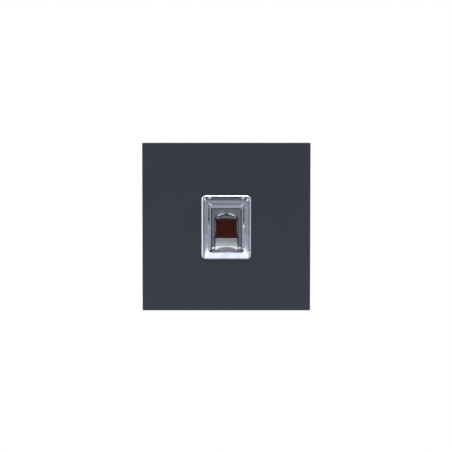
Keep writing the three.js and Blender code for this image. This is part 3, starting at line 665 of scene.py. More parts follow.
def finger_guide():
    """The earthed guide. Its face is a grid of depths, closed by straight sides and a flat back."""
    xs = graded(GUIDE_HALF, 0.16, 0.06)
    zs = graded(GUIDE_TALL, 0.16, 0.06)
    bm = bmesh.new()
    grid = [[bm.verts.new((x, guide_depth(x, z), z)) for x in xs] for z in zs]
    for row, above in zip(grid, grid[1:]):
        for k in range(len(xs) - 1):
            bm.faces.new((row[k], row[k + 1], above[k + 1], above[k]))
    rim = grid[0][:] + [row[-1] for row in grid[1:]]
    rim += grid[-1][-2::-1] + [row[0] for row in grid[-2:0:-1]]
    foot = [bm.verts.new((v.co.x, GUIDE_THICK, v.co.z)) for v in rim]
    for k in range(len(rim)):
        after = (k + 1) % len(rim)
        bm.faces.new((rim[k], rim[after], foot[after], foot[k]))
    bm.faces.new(foot)
    body = make("guide", bm)
    flange_tall = GUIDE_TALL + 1.4
    x, y = (-GUIDE_HALF, GUIDE_HALF), (GUIDE_THICK - 1.2, GUIDE_THICK)
    join(body, block(x, y, (-flange_tall, flange_tall), 0.4, 0.15))
    through = (-2, GUIDE_THICK + 1)
    low = SENSOR_Z - POCKET_TALL
    pocket = block((-POCKET_HALF, POCKET_HALF), through, (low, SENSOR_Z + POCKET_TALL), 0.8)
    cup = block((-6.65, 6.65), through, (low, SENSOR_Z - 1.5), 1.5)
    slot = block((-0.55, 0.55), through, (PIP_Z - 0.55, PIP_Z + 1.35), 0.55)
    cut(body, pocket, cup, slot)
    return lean(body)


def guide_gasket():
    outline = (0, 0, GUIDE_HALF + 0.38, GUIDE_TALL + 0.16, 0.5)
    return lean(tube_of(outline, [(0, 1, 0.08), (0, 2, 0.08), (0.28, 2, 0.05), (0.28, 1, 0.05)]))


def sensor_package():
    """The moulded package: a low frame round the sensing area."""
    outline = (0, SENSOR_Z, 5.95, 5.6, 0.6)
    profile = [(0, 4.6, 0.1), (0, 2.1, 0.15), (0.85, 2.1, 0.12), (0.95, 3.1, 0), (4, 3.1, 0), (4, 4.6, 0)]
    return lean(tube_of(outline, profile))


def sensor_window():
    half = span("sensor_window").size.x / 2
    return lean(block((-half, half), (2.35, 3.0), (SENSOR_Z - half, SENSOR_Z + half), 0.3, 0.08))


def light_pipe():
    front = GROOVE_DEPTH - 0.25
    profile = [(0, front - 0.12), (0.3, front, 0.1), (0.45, front + 0.3, 0.1), (0.45, 3.7), (0.9, 3.7, 0.1),
               (0.9, 4.5, 0.1), (0, 4.5)]
    return lean(turned(profile, 0, PIP_Z, 24))


def earth_spring():
    """A bent strip: a foot on the sensor board and a leaf that presses on the guide."""
    path = [(4.5, -8.6), (4.5, -11.4), (4.42, -11.85), (4.15, -11.9), (3.62, -9.65)]
    thick = 0.09
    side_a = [(y - thick, z) for y, z in path]
    side_b = [(y + thick, z - 0.02) for y, z in reversed(path)]
    return lean(bevelled(prism(side_a + side_b, -1.6, 1.6), 0.03, 1))


stand_for("finger_guide", finger_guide(), smooth=50)
stand_for("guide_gasket", guide_gasket())
stand_for("sensor_package", sensor_package())
stand_for("sensor_window", sensor_window())
stand_for("light_pipe", light_pipe())
stand_for("earth_spring", earth_spring())


# ---------------------------------------------------------------- repeated shapes

def duplicate(solid):
    made = bpy.data.objects.new(solid.name, solid.data.copy())
    bpy.context.scene.collection.objects.link(made)
    return made


def merged(solids):
    """One mesh from shapes that don't touch."""
    bm = bmesh.new()
    for solid in solids:
        bm.from_mesh(solid.data)
        bpy.data.meshes.remove(solid.data)
    return make("set", bm)


def screw(head, head_tall, shank, length, pitch, thread):
    """A slotted pan-head screw along Y: its head is behind zero, and its tip points forward."""
    sides = 28
    root = shank * 0.8
    turn = [k * 2 * math.pi / sides for k in range(sides)]
    rings = []

    def ring(y, radius_at):
        rings.append([Vector((radius_at(a) * math.cos(a), y, radius_at(a) * math.sin(a))) for a in turn])

    def thread_at(y):
        runout = min((y + length - shank * 0.6) / pitch, (thread - length - y) / pitch, 1)
        ridge = lambda a: max(0, 1 - abs(2 * ((a / (2 * math.pi) + y / pitch) % 1) - 1) * 1.5)
        return lambda a: root + (shank - root) * ridge(a) * max(runout, 0)

    for radius, y in ((0.15, 0), (root * 0.6, 0.05), (root, shank * 0.55)):
        ring(y - length, lambda a, radius=radius: radius)
    steps = round(thread / pitch * 7)
    for k in range(steps + 1):
        y = -length + shank * 0.6 + (thread - shank * 0.6) * k / steps
        ring(y, thread_at(y))
    round_over = head_tall * 0.55
    under = [(shank, thread - length + 0.15), (shank, -0.25), (shank + 0.08, -0.05)]
    under += [(head - 0.1, 0), (head, 0.1)]
    if thread - length + 0.15 > -0.3:
        under = under[2:]
    arc = [(head - round_over + round_over * math.cos(t * math.pi / 12),
            head_tall - round_over + round_over * math.sin(t * math.pi / 12)) for t in range(7)]
    for radius, y in under + arc + [(0.1, head_tall + 0.01)]:
        ring(y, lambda a, radius=radius: radius)
    slot = block((-head - 1, head + 1), (head_tall - 0.5, head_tall + 1), (-0.25, 0.25))
    return cut(from_rings(rings), slot)


def coil(radius, thickness, length, turns):
    """A compression spring along Y from zero, with a closed turn at each end."""
    steps = turns * 28
    points = []
    for k in range(steps + 1):
        share = k / steps
        climb = min(max((share - 0.12) / 0.76, 0), 1)
        y = thickness + (length - 2 * thickness) * (0.06 * share + 0.94 * climb)
        angle = share * turns * 2 * math.pi
        points.append(Vector((radius * math.cos(angle), y, radius * math.sin(angle))))
    return wire(points, thickness)


def solder_joint(x, z, surface_y, away, lead=0.35):
    """A cone of solder round the end of a lead. away is -1 in front of a board and 1 behind it."""
    profile = [(0.95, 0), (0.8, 0.12), (0.5, 0.4), (lead, 0.75), (lead, 1.1), (lead * 0.6, 1.25)]
    return turned([(radius, surface_y + away * y) for radius, y in profile], x, z, 14)


def chamfered_hole(radius, x, z, low, high):
    return turned([(radius, low), (radius, high - 0.35), (radius + 0.5, high + 0.15)], x, z, 40)


def chamfered_opening(outline, low, high):
    return tube_of(outline, [(0, low, 0), (0, high - 0.45, 0), (-0.6, high + 0.15, 0)], closed=False)


# ---------------------------------------------------------------- sensor board, bracket and flat cable

BRACKET_FRONT = 6.8
BRACKET_BACK = 8.2
CLAMP_PLACES = [(x * 11.2, z * 13.5) for x, z in CORNERS]
FLEX_HALF = 4.0
FLEX_WAYS = 8


def sensor_board():
    body = block((-9.2, 9.2), (4.7, 5.7), (-14.5, 14.7), 0.8, 0.06)
    holes = [rod(0.35, (4, 6.5), x, z, 16) for x in (-7.6, 7.6) for z in (-12.8, 13)]
    return lean(cut(body, *holes))


def socket(y, z, mouth):
    """A flat-cable socket. mouth is the sign of the Z side that the cable enters."""
    body = block((-5.5, 5.5), y, z, 0.2, 0.12)
    entry = z[0] if mouth < 0 else z[1]
    middle = (y[0] + y[1]) / 2
    inner = sorted((entry + mouth, entry - mouth * 2.2))
    tools = [block((-4.3, 4.3), (middle - 0.28, middle + 0.28), inner)]
    seam = sorted((entry - mouth * 1.3, entry - mouth * 1.5))
    tools += [block((-6, 6), (edge - 0.12, edge + 0.12), seam) for edge in y]
    far = z[1] if mouth < 0 else z[0]
    notch = sorted((far - mouth * 0.5, far + mouth * 0.45))
    for way in range(FLEX_WAYS):
        x = (way - (FLEX_WAYS - 1) / 2) * 1.1
        tools.append(block((x - 0.28, x + 0.28), (y[0] - 1, y[1] + 1), notch))
    return cut(body, *tools)


def sensor_bracket():
    """A moulded clamp that presses the sensor board on to the guide, with a slot for the flat cable."""
    plate = block((-15.1, 15.1), (BRACKET_FRONT, BRACKET_BACK), (-18.8, 21.6), 1.5, 0.25)
    ribs = [block((x - 0.5, x + 0.5), (5.8, BRACKET_FRONT + 0.4), (-12, 12), 0.4, 0.12) for x in (-8.6, 8.6)]
    join(plate, *ribs)
    slot = chamfered_opening((0, -10.1, 6.2, 5.7, 0.8), 5, BRACKET_BACK)
    return lean(cut(plate, slot, *[chamfered_hole(1.3, x, z, 5, BRACKET_BACK) for x, z in CLAMP_PLACES]))


def flex_path():
    """The cable's middle line: down out of the sensor's socket, then back into the main board's."""
    turn = LEANING.to_3x3()
    start = LEANING @ Vector((0, 6.5, -9.8))
    heading = turn @ Vector((0, 0, -1))
    end = Vector((0, 18.9, -23.7))
    a, b, c, d = start, start + heading * 4.5, end + Vector((0, 0, 4.7)), end
    points = [start - heading * 1.7, start - heading * 0.8]
    for k in range(41):
        t = k / 40
        points.append(a * (1 - t) ** 3 + b * 3 * t * (1 - t) ** 2 + c * 3 * t * t * (1 - t) + d * t ** 3)
    return points + [end - Vector((0, 0, 0.8)), end - Vector((0, 0, 1.6))]


def flex_cable():
    """A film with a raised line over each conductor and a doubled, stiffer end."""
    path = flex_path()
    step = 2 * FLEX_HALF / (FLEX_WAYS * 8)
    across = [-FLEX_HALF + k * step for k in range(FLEX_WAYS * 8 + 1)]
    rings = []
    for k, point in enumerate(path):
        along = (path[min(k + 1, len(path) - 1)] - path[max(k - 1, 0)]).normalized()
        out = Vector((1, 0, 0)).cross(along)
        ends = min(k, len(path) - 1 - k)
        half_thick = 0.11 + 0.04 * (1 - smooth_step(3, 4.5, ends))
        ring = []
        for x in across:
            wave = 0.5 - 0.5 * math.cos((x + FLEX_HALF) / (2 * FLEX_HALF) * FLEX_WAYS * 2 * math.pi)
            ring.append(point + Vector((x, 0, 0)) + out * (half_thick + 0.035 * wave))
        rings.append(ring + [point + Vector((x, 0, 0)) - out * half_thick for x in reversed(across)])
    return from_rings(rings)


def sensor_board_parts():
    """Small chips on the back of the sensor board, between the bracket's ribs."""
    chips = [(-3.2, 6.5, 1.7, 1.7), (3.4, 7.2, 1.4, 1.1), (3.4, 3.6, 1.4, 1.1)]
    chips += [(x, 1.2, 0.4, 0.7) for x in (-4.4, -2.9, -1.4, 0.1)]
    bodies = [block((x - w, x + w), (5.7, 6.4), (z - t, z + t), 0.1, 0.08) for x, z, w, t in chips]
    return lean(merged(bodies))


stand_for("sensor_board", sensor_board())
stand_for("sensor_socket", lean(socket((5.8, 7.2), (-9.5, -5), -1)))
stand_for("sensor_bracket", sensor_bracket())
stand_for("flex_cable", flex_cable())
finish(sensor_board_parts(), "sensor_board_parts", "module", "chip_black")

bracket_screw = screw(1.9, 1.2, 1.0, 5, 0.7, 3.6)
for i, (x, z) in enumerate(CLAMP_PLACES):
    stand_for(f"bracket_screw_{i + 1}", lean(put(duplicate(bracket_screw), (x, BRACKET_BACK + 0.1, z))))
bpy.data.objects.remove(bracket_screw)


# ---------------------------------------------------------------- main board

BOARD_FRONT, BOARD_BACK = BOARD.low.y, BOARD.high.y
POLES = [(k - 2.5) * 5.08 for k in range(6)]
PLUG_Z = -30.5
PIN_PLACES = [(x, PLUG_Z) for x in POLES]
RELAY_PLACES = [(-26, 12), (-13, 12)]
RELAY_FOOTPRINT = [(0, -8), (-3, -4), (3, -4), (-3, 8), (3, 8)]
RELAY_LEADS = [(x + a, z + b) for x, z in RELAY_PLACES for a, b in RELAY_FOOTPRINT]
CAN_LEADS = [(27, z + d) for z in (18, 8) for d in (-1.8, 1.8)]
BEEPER = (-26, -20)
BEEPER_LEADS = [(BEEPER[0], BEEPER[1] + d) for d in (-3.5, 3.5)]
DIP_LEADS = [(24 + (k - 1.5) * 2.54, -10 + side * 3.9) for k in range(4) for side in (-1, 1)]
SERVICE = (-26, -10)
TAMPER = (0, 30)
SWITCH_LEADS = [(x + a, z + b) for x, z in (SERVICE, TAMPER) for a in (-3.6, 3.6) for b in (-2.2, 2.2)]


def main_board():
    body = block((-41, 41), (BOARD_FRONT, BOARD_BACK), (-41, 41), 1, 0.08)
    tools = []
    for x, z in CORNERS:
        xs, zs = sorted((x * 32.6, x * 45)), sorted((z * 32.6, z * 45))
        tools.append(block(xs, (19, 23), zs, 0.8))
        tools.append(rod(1.4, (19, 23), x * PILLAR_X, z * PILLAR_Z))
    tools += [rod(0.4, (19, 23), -37 + 2.6 * k, -6, 12) for k in range(4)]
    return cut(body, *tools)


def gull_lead(side_x, side_z, x, z, top):
    """A chip's bent lead, from the side of its body down to the board's front."""
    shape = [(0, top + 0.55), (0.35, top + 0.55), (0.7, 19.87), (1.3, 19.87), (1.3, 20.0), (0.55, 20.0),
             (0.25, top + 0.7), (0, top + 0.7)]
    lead = prism(shape, -0.17, 0.17, "Z")
    angle = math.atan2(side_z, side_x)
    return moved(lead, Matrix.Translation((x, 0, z)) @ Matrix.Rotation(-angle, 4, "Y"))


def chip(x, z, half_x, half_z, tall):
    """A moulded package: its sides slope away from the leads' plane, with a dimple at its first lead."""
    foot = BOARD_FRONT - 0.1
    middle = foot - tall * 0.45
    outline = (x, z, half_x, half_z, 0.15)
    profile = [(0.12, foot, 0), (0, middle, 0), (0.12, foot - tall + 0.08, 0), (0.22, foot - tall, 0)]
    body = tube_of(outline, profile, closed=False)
    return cut(body, rod(0.5, (foot - tall - 1, foot - tall + 0.12), x - half_x + 1.3, z + half_z - 1.3, 20))


def chip_leads():
    leads = []
    for k in range(12):
        step = (k - 5.5) * 1.0
        for sx, sz in ((1, 0), (-1, 0), (0, 1), (0, -1)):
            x, z = -24 + sx * 7.0 + (step if sz else 0), 15 + sz * 7.0 + (step if sx else 0)
            leads.append(gull_lead(sx, sz, x, z, 18.6))
    for k in range(7):
        for sz in (1, -1):
            leads.append(gull_lead(0, sz, -24 + (k - 3) * 1.27, 1 + sz * 3.0, 18.9))
    return merged(leads)


def small_parts():
    """Rows of chip resistors and capacitors on the front of the main board."""
    places = [(-36.5 + 2.6 * k, 27, 0) for k in range(9)] + [(-36.5 + 2.6 * k, -5.5, 0) for k in range(9)]
    places += [(36, -14 + 3 * k, 1) for k in range(7)] + [(18, 26 + 3 * k, 1) for k in range(3)]
    parts = []
    for x, z, turned_round in places:
        w, t = (0.5, 0.9) if not turned_round else (0.9, 0.5)
        parts.append(block((x - w, x + w), (19.35, 20), (z - t, z + t), 0.08, 0.07))
    return merged(parts)


def can(x, z, radius, tall, crimp):
    foot = BOARD_FRONT - 0.1
    top = foot - tall
    profile = [(radius - 0.8, top), (radius - 0.7, top), (radius, top, 0.4),
               (radius, foot - crimp - 0.4, 0.15), (radius - 0.25, foot - crimp, 0.15),
               (radius, foot - crimp + 0.4, 0.15), (radius, foot, 0.2), (radius - 0.4, foot)]
    return turned(profile, x, z, 48)


def capacitor(x, z):
    """A can with the scored cross on its end."""
    top = BOARD_FRONT - 9.1
    scores = [block((x - 2.4, x + 2.4), (top - 1, top + 0.15), (z - 0.14, z + 0.14)),
              block((x - 0.14, x + 0.14), (top - 1, top + 0.15), (z - 2.4, z + 2.4))]
    return cut(can(x, z, 4, 9, 1.6), *scores)


def beeper():
    top = BOARD_FRONT - 6.1
    ring = cut(rod(2.6, (top - 1, top + 0.2), *BEEPER, 40), rod(2.3, (top - 2, top + 1), *BEEPER, 40))
    return cut(can(*BEEPER, 6, 6, 1.0), rod(1, (top - 1, top + 4), *BEEPER), ring)


def inductor():
    body = block((20, 28), (15.4, 19.9), (-18, -10), 1, 0.45)
    top = 15.4
    ring = cut(rod(3.1, (top - 1, top + 0.3), 24, -14, 48), rod(2.8, (top - 2, top + 1), 24, -14, 48))
    return cut(body, ring, block((22.4, 25.6), (19.3, 20.5), (-19, -9)))


def relay(x, z):
    base, top = BOARD_BACK + 0.1, BOARD_BACK + 11.1
    profile = [(0.25, base, 0), (0.25, base + 0.7, 0), (0, base + 0.8, 0), (0, top - 0.5, 0),
               (0.15, top - 0.15, 0), (0.5, top, 0)]
    body = tube_of((x, z, 5, 10, 0.5), profile, closed=False)
    return cut(body, rod(0.7, (top - 0.25, top + 1), x - 3.2, z - 8.2, 24))


def header():
    """The fixed half of the terminals: an open-backed well with a chamfered mouth."""
    low, high = BOARD_BACK + 0.1, span("terminal_header").high.y
    body = block((-16.34, 16.34), (low, high), (PLUG_Z - 5.1, PLUG_Z + 5.1), 0.4, 0.15)
    mouth = [(0, low + 2.5, 0), (0, high - 0.4, 0), (-0.5, high + 0.1, 0)]
    well = tube_of((0, PLUG_Z, 15.34, 4, 0.3), mouth, closed=False)
    pins = [block((x - 0.55, x + 0.55), (low - 1, low + 4), (PLUG_Z - 0.55, PLUG_Z + 0.55)) for x in POLES]
    keys = [block((x - 0.8, x + 0.8), (high - 2, high + 1), (PLUG_Z + 3.5, PLUG_Z + 6)) for x in POLES]
    return cut(body, well, *pins, *keys)


def header_pins():
    y = (BOARD_BACK + 0.02, BOARD_BACK + 7.2)
    return merged([block((x - 0.5, x + 0.5), y, (z - 0.5, z + 0.5), 0.05, 0.25) for x, z in PIN_PLACES])


def solder_joints():
    """The soldered ends of the leads, on the side of the board away from each part."""
    front = RELAY_LEADS + PIN_PLACES + DIP_LEADS + SWITCH_LEADS
    joints = [solder_joint(x, z, BOARD_FRONT, -1) for x, z in front]
    joints += [solder_joint(x, z, BOARD_BACK, 1) for x, z in CAN_LEADS + BEEPER_LEADS]
    return merged(joints)


stand_for("main_board", main_board())
stand_for("board_socket", socket((17.9, 19.9), (-28.3, -24), 1))
stand_for("processor", chip(-24, 15, 7, 7, 1.4), smooth=20)
stand_for("memory_chip", chip(-24, 1, 5, 3, 1.0), smooth=20)
stand_for("inductor", inductor())
stand_for("capacitor_1", capacitor(27, 18))
stand_for("capacitor_2", capacitor(27, 8))
stand_for("beeper", beeper())
for i, place in enumerate(RELAY_PLACES):
    stand_for(f"relay_{i + 1}", relay(*place))
stand_for("terminal_header", header())
finish(header_pins(), "header_pins", "module", "screw_steel")
finish(chip_leads(), "chip_leads", "module", "screw_steel")
finish(small_parts(), "small_board_parts", "module", "chip_black")
finish(solder_joints(), "solder_joints", "module", "screw_steel")


# ---------------------------------------------------------------- terminal plug

PLUG_BACK = span("terminal_plug").high.y
PLUG_TOP = PLUG_Z + 5.6
CLAMP_Y = 33.3


def upright_rod(radius, x, y, z, flare=0.0):
    """A rod along Z, which may flare at its upper end."""
    mouth = (radius + flare * 1.5, z[1] + flare * 0.5)
    tool = turned([(radius, z[0]), (radius, z[1] - flare), mouth], sides=32)
    return put(tool, (x, y, 0), 90)


def terminal_plug():
    """The plug: a nose with a socket for each pin, wire funnels at the back and screw wells on top."""
    front = BOARD_BACK + 9
    body = block((-16.34, 16.34), (front, PLUG_BACK), (PLUG_Z - 5.6, PLUG_TOP), 0.4, 0.3)
    nose = block((-15.04, 15.04), (24.6, front + 0.7), (PLUG_Z - 3.7, PLUG_Z + 3.7), 0.3, 0.3)
    join(body, nose)
    tools = []
    for x in POLES:
        flare = [(0.15, 32.1, 0), (0, PLUG_BACK - 0.7, 0), (-0.4, PLUG_BACK + 0.1, 0)]
        tools.append(tube_of((x, PLUG_Z - 1.9, 1.6, 1.7, 0.3), flare, closed=False))
        tools.append(upright_rod(1.72, x, CLAMP_Y, (PLUG_Z + 1, PLUG_TOP), 0.3))
        tools.append(block((x - 0.8, x + 0.8), (24, 30), (PLUG_Z - 0.8, PLUG_Z + 0.8)))
    for x in [(a + b) / 2 for a, b in zip(POLES, POLES[1:])]:
        tools.append(block((x - 0.2, x + 0.2), (PLUG_BACK - 0.35, PLUG_BACK + 1), (PLUG_Z - 7, PLUG_Z + 7)))
        tools.append(block((x - 0.2, x + 0.2), (front + 0.8, PLUG_BACK + 1), (PLUG_TOP - 0.35, PLUG_TOP + 1)))
    return cut(body, *tools)


def plug_clamps():
    cage = [(0, 32.3, 0), (0, 35.0, 0.1), (0.3, 35.0, 0.1), (0.3, 32.3, 0)]
    return merged([tube_of((x, PLUG_Z - 1.9, 1.5, 1.6, 0.25), cage) for x in POLES])


stand_for("terminal_plug", terminal_plug())
finish(plug_clamps(), "plug_clamps", "terminal_plug", "screw_steel")
plug_screw = screw(1.5, 1.6, 1.1, 2, 0.6, 1.7)
for i, x in enumerate(POLES):
    stand_for(f"plug_screw_{i + 1}", put(duplicate(plug_screw), (x, CLAMP_Y, PLUG_Z + 3.3), 90))
bpy.data.objects.remove(plug_screw)


# ---------------------------------------------------------------- switches, button and plunger

def dip_switch():
    body = block((18.4, 29.6), (21.7, 25.7), (-13.2, -6.8), 0.3, 0.2)
    slots = []
    for k in range(4):
        middle = span(f"dip_slider_{k + 1}").mid.x
        slots.append(block((middle - 0.75, middle + 0.75), (24.1, 27), (-11.6, -8.4), 0.12))
    foot = block((18, 30), (21, 22.1), (-14, -6))
    foot = cut(foot, block((18.8, 29.2), (20, 23), (-12.8, -7.2)))
    return cut(body, *slots, foot)


def dip_slider(node):
    box = span(node)
    x, z = box.mid.x, box.mid.z
    body = block((box.low.x, box.high.x), (box.low.y, box.high.y), (box.low.z, box.high.z), 0.1, 0.15)
    return cut(body, block((x - 0.28, x + 0.28), (box.high.y - 0.2, box.high.y + 1), (z - 0.4, z + 0.4), 0.1))


def push_switch(node):
    """A small tactile switch: a square body, a thin cover plate held by four studs, and a round actuator."""
    box = span(node)
    x, z, foot, top = box.mid.x, box.mid.z, box.low.y, box.high.y
    sides = [(0.1, foot, 0), (0, foot + 0.1, 0), (0, top - 0.85, 0), (0.1, top - 0.75, 0)]
    body = tube_of((x, z, 3.1, 3.1, 0.3), sides, closed=False)
    cover = block((x - 2.9, x + 2.9), (top - 0.8, top - 0.5), (z - 2.9, z + 2.9), 0.2, 0.06)
    stud = [(0.42, top - 0.7), (0.42, top - 0.3, 0.1), (0.15, top - 0.22)]
    studs = [turned(stud, x + a * 2.25, z + b * 2.25, 20) for a, b in CORNERS]
    actuator = turned([(1.75, top - 0.7), (1.75, top, 0.2), (0.6, top)], x, z, 40)
    return join(body, cover, *studs, actuator)


def service_button():
    stem = [(1.15, 25.4), (1.4, 25.4, 0.2), (1.4, 33.4, 0.15)]
    collar = [(2.9, 33.4, 0.2), (2.9, 34.7, 0.2), (1.75, 34.7, 0.12)]
    dished_end = [(1.75, 36.65, 0.3), (1.2, 36.7, 0.2), (1.0, 36.5, 0.2), (0.2, 36.5)]
    return turned(stem + collar + dished_end, *SERVICE, 48)


def tamper_plunger():
    stem = [(1.5, 27), (1.9, 27, 0.25), (1.9, 33.3, 0.15)]
    collar = [(3.2, 33.3, 0.2), (3.2, 34.7, 0.2), (2.1, 34.7, 0.12)]
    domed_end = [(2.1, 38.4, 0.4), (1.6, 39.05, 0.5), (0.3, 39.2)]
    return turned(stem + collar + domed_end, *TAMPER, 48)


stand_for("dip_switch", dip_switch())
for k in range(4):
    stand_for(f"dip_slider_{k + 1}", dip_slider(f"dip_slider_{k + 1}"))
stand_for("service_switch", push_switch("service_switch"))
stand_for("tamper_switch", push_switch("tamper_switch"))
stand_for("service_button", service_button())
stand_for("tamper_plunger", tamper_plunger())
spring_foot = Vector((TAMPER[0], 24.8, TAMPER[1]))
spring = stand_for("tamper_spring", put(coil(2.5, 0.22, 8.4, 5), spring_foot))
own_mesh(spring)


# ---------------------------------------------------------------- rear housing

def rounded_outline(a, b, radius, steps=6):
    """A rounded rectangle as a list of pairs, between two values of each."""
    points = []
    middles = [(a[1] - radius, b[1] - radius), (a[0] + radius, b[1] - radius), (a[0] + radius, b[0] + radius),
               (a[1] - radius, b[0] + radius)]
    for quarter, (p, q) in enumerate(middles):
        for step in range(steps + 1):
            angle = (quarter + step / steps) * math.pi / 2
            points.append((p + radius * math.cos(angle), q + radius * math.sin(angle)))
    return points


def housing():
    """The sleeve round the electronics: a hollow post in each corner, and a window for each latch."""
    front, back = SHELL.low.y, SHELL.high.y
    walls = tube_of((0, 0, SHELL_HALF, SHELL_HALF, 2.6),
                    [(0, front, 0.5), (0, back, 0.3), (2, back, 0.3), (2, front, 0.5)], corner_steps=8)
    posts = []
    for x, z in CORNERS:
        xs, zs = sorted((x * 34, x * 43.6)), sorted((z * 34, z * 43.6))
        posts.append(block(xs, (10, 31.7), zs, 0.8, 0.3))
    join(walls, *posts)
    window = prism(rounded_outline((2.7, 9.3), (-6.3, 6.3), 0.8), -60, 60)
    return cut(walls, window, *[rod(1.75, (0, 40), x * POST, z * POST) for x, z in CORNERS])


def rear_cover():
    """The cover: it plugs into the sleeve, carries the main board on pillars and takes the housing screws."""
    back = COVER.high.y
    plate = block((-SHELL_HALF, SHELL_HALF), (COVER_FRONT, back), (-SHELL_HALF, SHELL_HALF), 2.6, 0.55)
    rim = tube_of((0, 0, 42.7, 42.7, 1.5), [(0, 33, 0.2), (0, 36, 0), (1.4, 36, 0), (1.4, 33, 0.2)])
    parts = [rim]
    for x, z in CORNERS:
        parts.append(turned([(3.8, 32), (4.1, 32.3), (4.1, 36)], x * POST, z * POST, 48))
        pillar = [(2.4, 21.7), (2.6, 21.9), (2.6, 34), (3.4, 35.2, 0.5), (3.4, 36)]
        parts.append(turned(pillar, x * PILLAR_X, z * PILLAR_Z, 40))
    join(plate, *parts)
    tools = []
    for x, z in CORNERS:
        tools.append(rod(1.75, (30, 36), x * POST, z * POST))
        tools.append(chamfered_hole(3, x * POST, z * POST, 33.5, back))
        tools.append(rod(1.25, (20, 28.1), x * PILLAR_X, z * PILLAR_Z))
    tools.append(chamfered_opening((0, PLUG_Z, 17.24, 6.6, 0.8), 30, back))
    tools.append(chamfered_opening((24, -10, 7, 4.6, 0.6), 30, back))
    tools.append(chamfered_hole(2.05, *SERVICE, 30, back))
    tools.append(chamfered_hole(2.4, *TAMPER, 30, back))
    return cut(plate, *tools)


stand_for("housing", housing())
stand_for("rear_cover", rear_cover())

housing_screw = screw(2.6, 2, 1.45, 30, 1.1, 13)
board_screw = screw(2.2, 1.6, 1.1, 7, 0.8, 5.4)
for i, (x, z) in enumerate(CORNERS):
    stand_for(f"housing_screw_{i + 1}", put(duplicate(housing_screw), (x * POST, 33.6, z * POST)))
    place = (x * PILLAR_X, 19.9, z * PILLAR_Z)
    stand_for(f"board_screw_{i + 1}", put(duplicate(board_screw), place, 180))
bpy.data.objects.remove(housing_screw)
bpy.data.objects.remove(board_screw)


# ---------------------------------------------------------------- side latches

def latch():
    """The right-hand latch: a nose with a flat face and a ramp, a stop plate and a spigot for its spring."""
    flat_face = [(41.4, 3.1), (45.3, 3.1), (45.4, 3.0), (47.3, 3.0)]
    tip = [(47.52, 3.08), (47.6, 3.3), (47.6, 3.75), (47.5, 4.1)]
    ramp = [(45.5, 8.7), (45.25, 8.95), (44.9, 9), (41.4, 9)]
    body = bevelled(prism(flat_face + tip + ramp, -6, 6, "Z"), 0.2, 2, 50)
    stop = block((41.2, 42.6), (1.9, 10.2), (-7.4, 7.4), 0.3, 0.25)
    spigot = turned([(0.9, 0), (1.3, 0.4, 0.1), (1.3, 3.2)], 0, 0, 32)
    put(spigot, (38.2, 6, 0), -90, "Z")
    return join(body, stop, spigot)


def latch_spring():
    return put(coil(1.9, 0.25, 6.1, 5), (35, 6, 0), -90, "Z")


for name, angle, way in (("right", 0, 1), ("left", math.pi, -1)):
    side = Matrix.Rotation(angle, 4, "Y")
    stand_for(f"latch_{name}", moved(latch(), side))
    placed = stand_for(f"latch_spring_{name}", moved(latch_spring(), side))
    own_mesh(placed)


# ---------------------------------------------------------------- camera, light and floor

CAMERA_DISTANCE = 1.2
CAMERA_RISE = math.radians(4.6)
SENSOR_MM = 36.0
VIEW_WIDTH = 0.2662


def area_light(name, place, size, radiance, target=(0, 0, 0)):
    """A soft box whose surface has the given radiance."""
    data = bpy.data.lights.new(name, "AREA")
    data.shape = "RECTANGLE"
    data.size, data.size_y = size
    data.energy = radiance * math.pi * size[0] * size[1]
    lamp = bpy.data.objects.new(name, data)
    bpy.context.scene.collection.objects.link(lamp)
    lamp.location = place
    lamp.visible_camera = False
    lamp.rotation_euler = (Vector(target) - Vector(place)).to_track_quat("-Z", "Y").to_euler()
    return lamp


def camera():
    data = bpy.data.cameras.new("camera")
    data.sensor_width = SENSOR_MM
    data.lens = SENSOR_MM * CAMERA_DISTANCE / VIEW_WIDTH
    made = bpy.data.objects.new("camera", data)
    bpy.context.scene.collection.objects.link(made)
    aim = Vector((-0.0002, FACE_FRONT * MM, 0.00057))
    made.location = aim + Vector((0, -math.cos(CAMERA_RISE), math.sin(CAMERA_RISE))) * CAMERA_DISTANCE
    made.rotation_euler = (aim - made.location).to_track_quat("-Z", "Y").to_euler()
    bpy.context.scene.camera = made


# Strength of the surroundings by height, from straight down (-1) to straight up (1).
SKY = [(-0.5, 0.16), (-0.1, 0.26), (0.05, 0.5), (0.35, 0.46), (0.7, 0.72), (0.83, 0.86)]


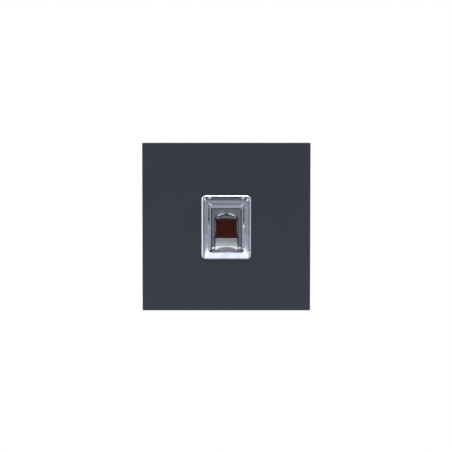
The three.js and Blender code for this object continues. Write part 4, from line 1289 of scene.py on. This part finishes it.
def world():
    made = bpy.data.worlds.new("studio")
    made.use_nodes = True
    bpy.context.scene.world = made
    tree = made.node_tree
    tree.nodes.clear()
    add = tree.nodes.new
    out = add("ShaderNodeOutputWorld")
    seen, lit, mix = add("ShaderNodeBackground"), add("ShaderNodeBackground"), add("ShaderNodeMixShader")
    seen.inputs["Color"].default_value = (1, 1, 1, 1)
    lit.inputs["Color"].default_value = (0.86, 0.9, 1.0, 1)
    place, split, ramp = add("ShaderNodeTexCoord"), add("ShaderNodeSeparateXYZ"), add("ShaderNodeValToRGB")
    tree.links.new(place.outputs["Generated"], split.inputs[0])
    half_way = add("ShaderNodeMapRange")
    half_way.inputs["From Min"].default_value = -1
    tree.links.new(split.outputs["Z"], half_way.inputs["Value"])
    tree.links.new(half_way.outputs["Result"], ramp.inputs[0])
    while len(ramp.color_ramp.elements) < len(SKY):
        ramp.color_ramp.elements.new(1.0)
    for stop, (height, strength) in zip(ramp.color_ramp.elements, SKY):
        stop.position = (height + 1) / 2
        stop.color = (strength, strength, strength, 1)
    tree.links.new(ramp.outputs["Color"], lit.inputs["Strength"])
    path = add("ShaderNodeLightPath")
    tree.links.new(path.outputs["Is Camera Ray"], mix.inputs[0])
    tree.links.new(lit.outputs[0], mix.inputs[1])
    tree.links.new(seen.outputs[0], mix.inputs[2])
    tree.links.new(mix.outputs[0], out.inputs[0])


def floor():
    """A pale floor, well below the terminal and reaching behind it."""
    bm = bmesh.new()
    corners = [(-1.4, -0.5), (1.4, -0.5), (1.4, 0.8), (-1.4, 0.8)]
    bm.faces.new([bm.verts.new((x, y, -0.3)) for x, y in corners])
    made = make("floor", bm)
    graph = Graph("floor")
    graph.feed(Base_Color=graph.mix(graph.noise(8), (0.8, 0.8, 0.8, 1), (0.84, 0.84, 0.84, 1)), Roughness=0.9)
    made.data.materials.append(graph.material)
    made.visible_glossy = False


camera()
world()
floor()
area_light("overhead", (-0.03, -0.04, 0.62), (1.1, 0.76), 0.28, target=(-0.03, -0.04, 0))
area_light("key", (0, -0.43, 0.5), (0.6, 0.07), 1.6)
area_light("strip", (0, -0.13, 0.55), (0.5, 0.05), 4.0)
area_light("left", (-0.6, -0.105, 0.05), (0.13, 0.8), 2.0)
area_light("right", (0.6, -0.105, 0.05), (0.13, 0.8), 0.7)
area_light("below", (0, -0.12, -0.28), (0.6, 0.08), 0.9)
area_light("low_left", (-0.22, -0.3, -0.27), (0.36, 0.07), 3.8)
area_light("low_right", (0.22, -0.3, -0.27), (0.36, 0.07), 3.4)
fill = area_light("fill", (0, -0.5, 0.75), (0.9, 0.9), 1.3)
fill.visible_glossy = False
bpy.context.scene.view_settings.view_transform = "Standard"
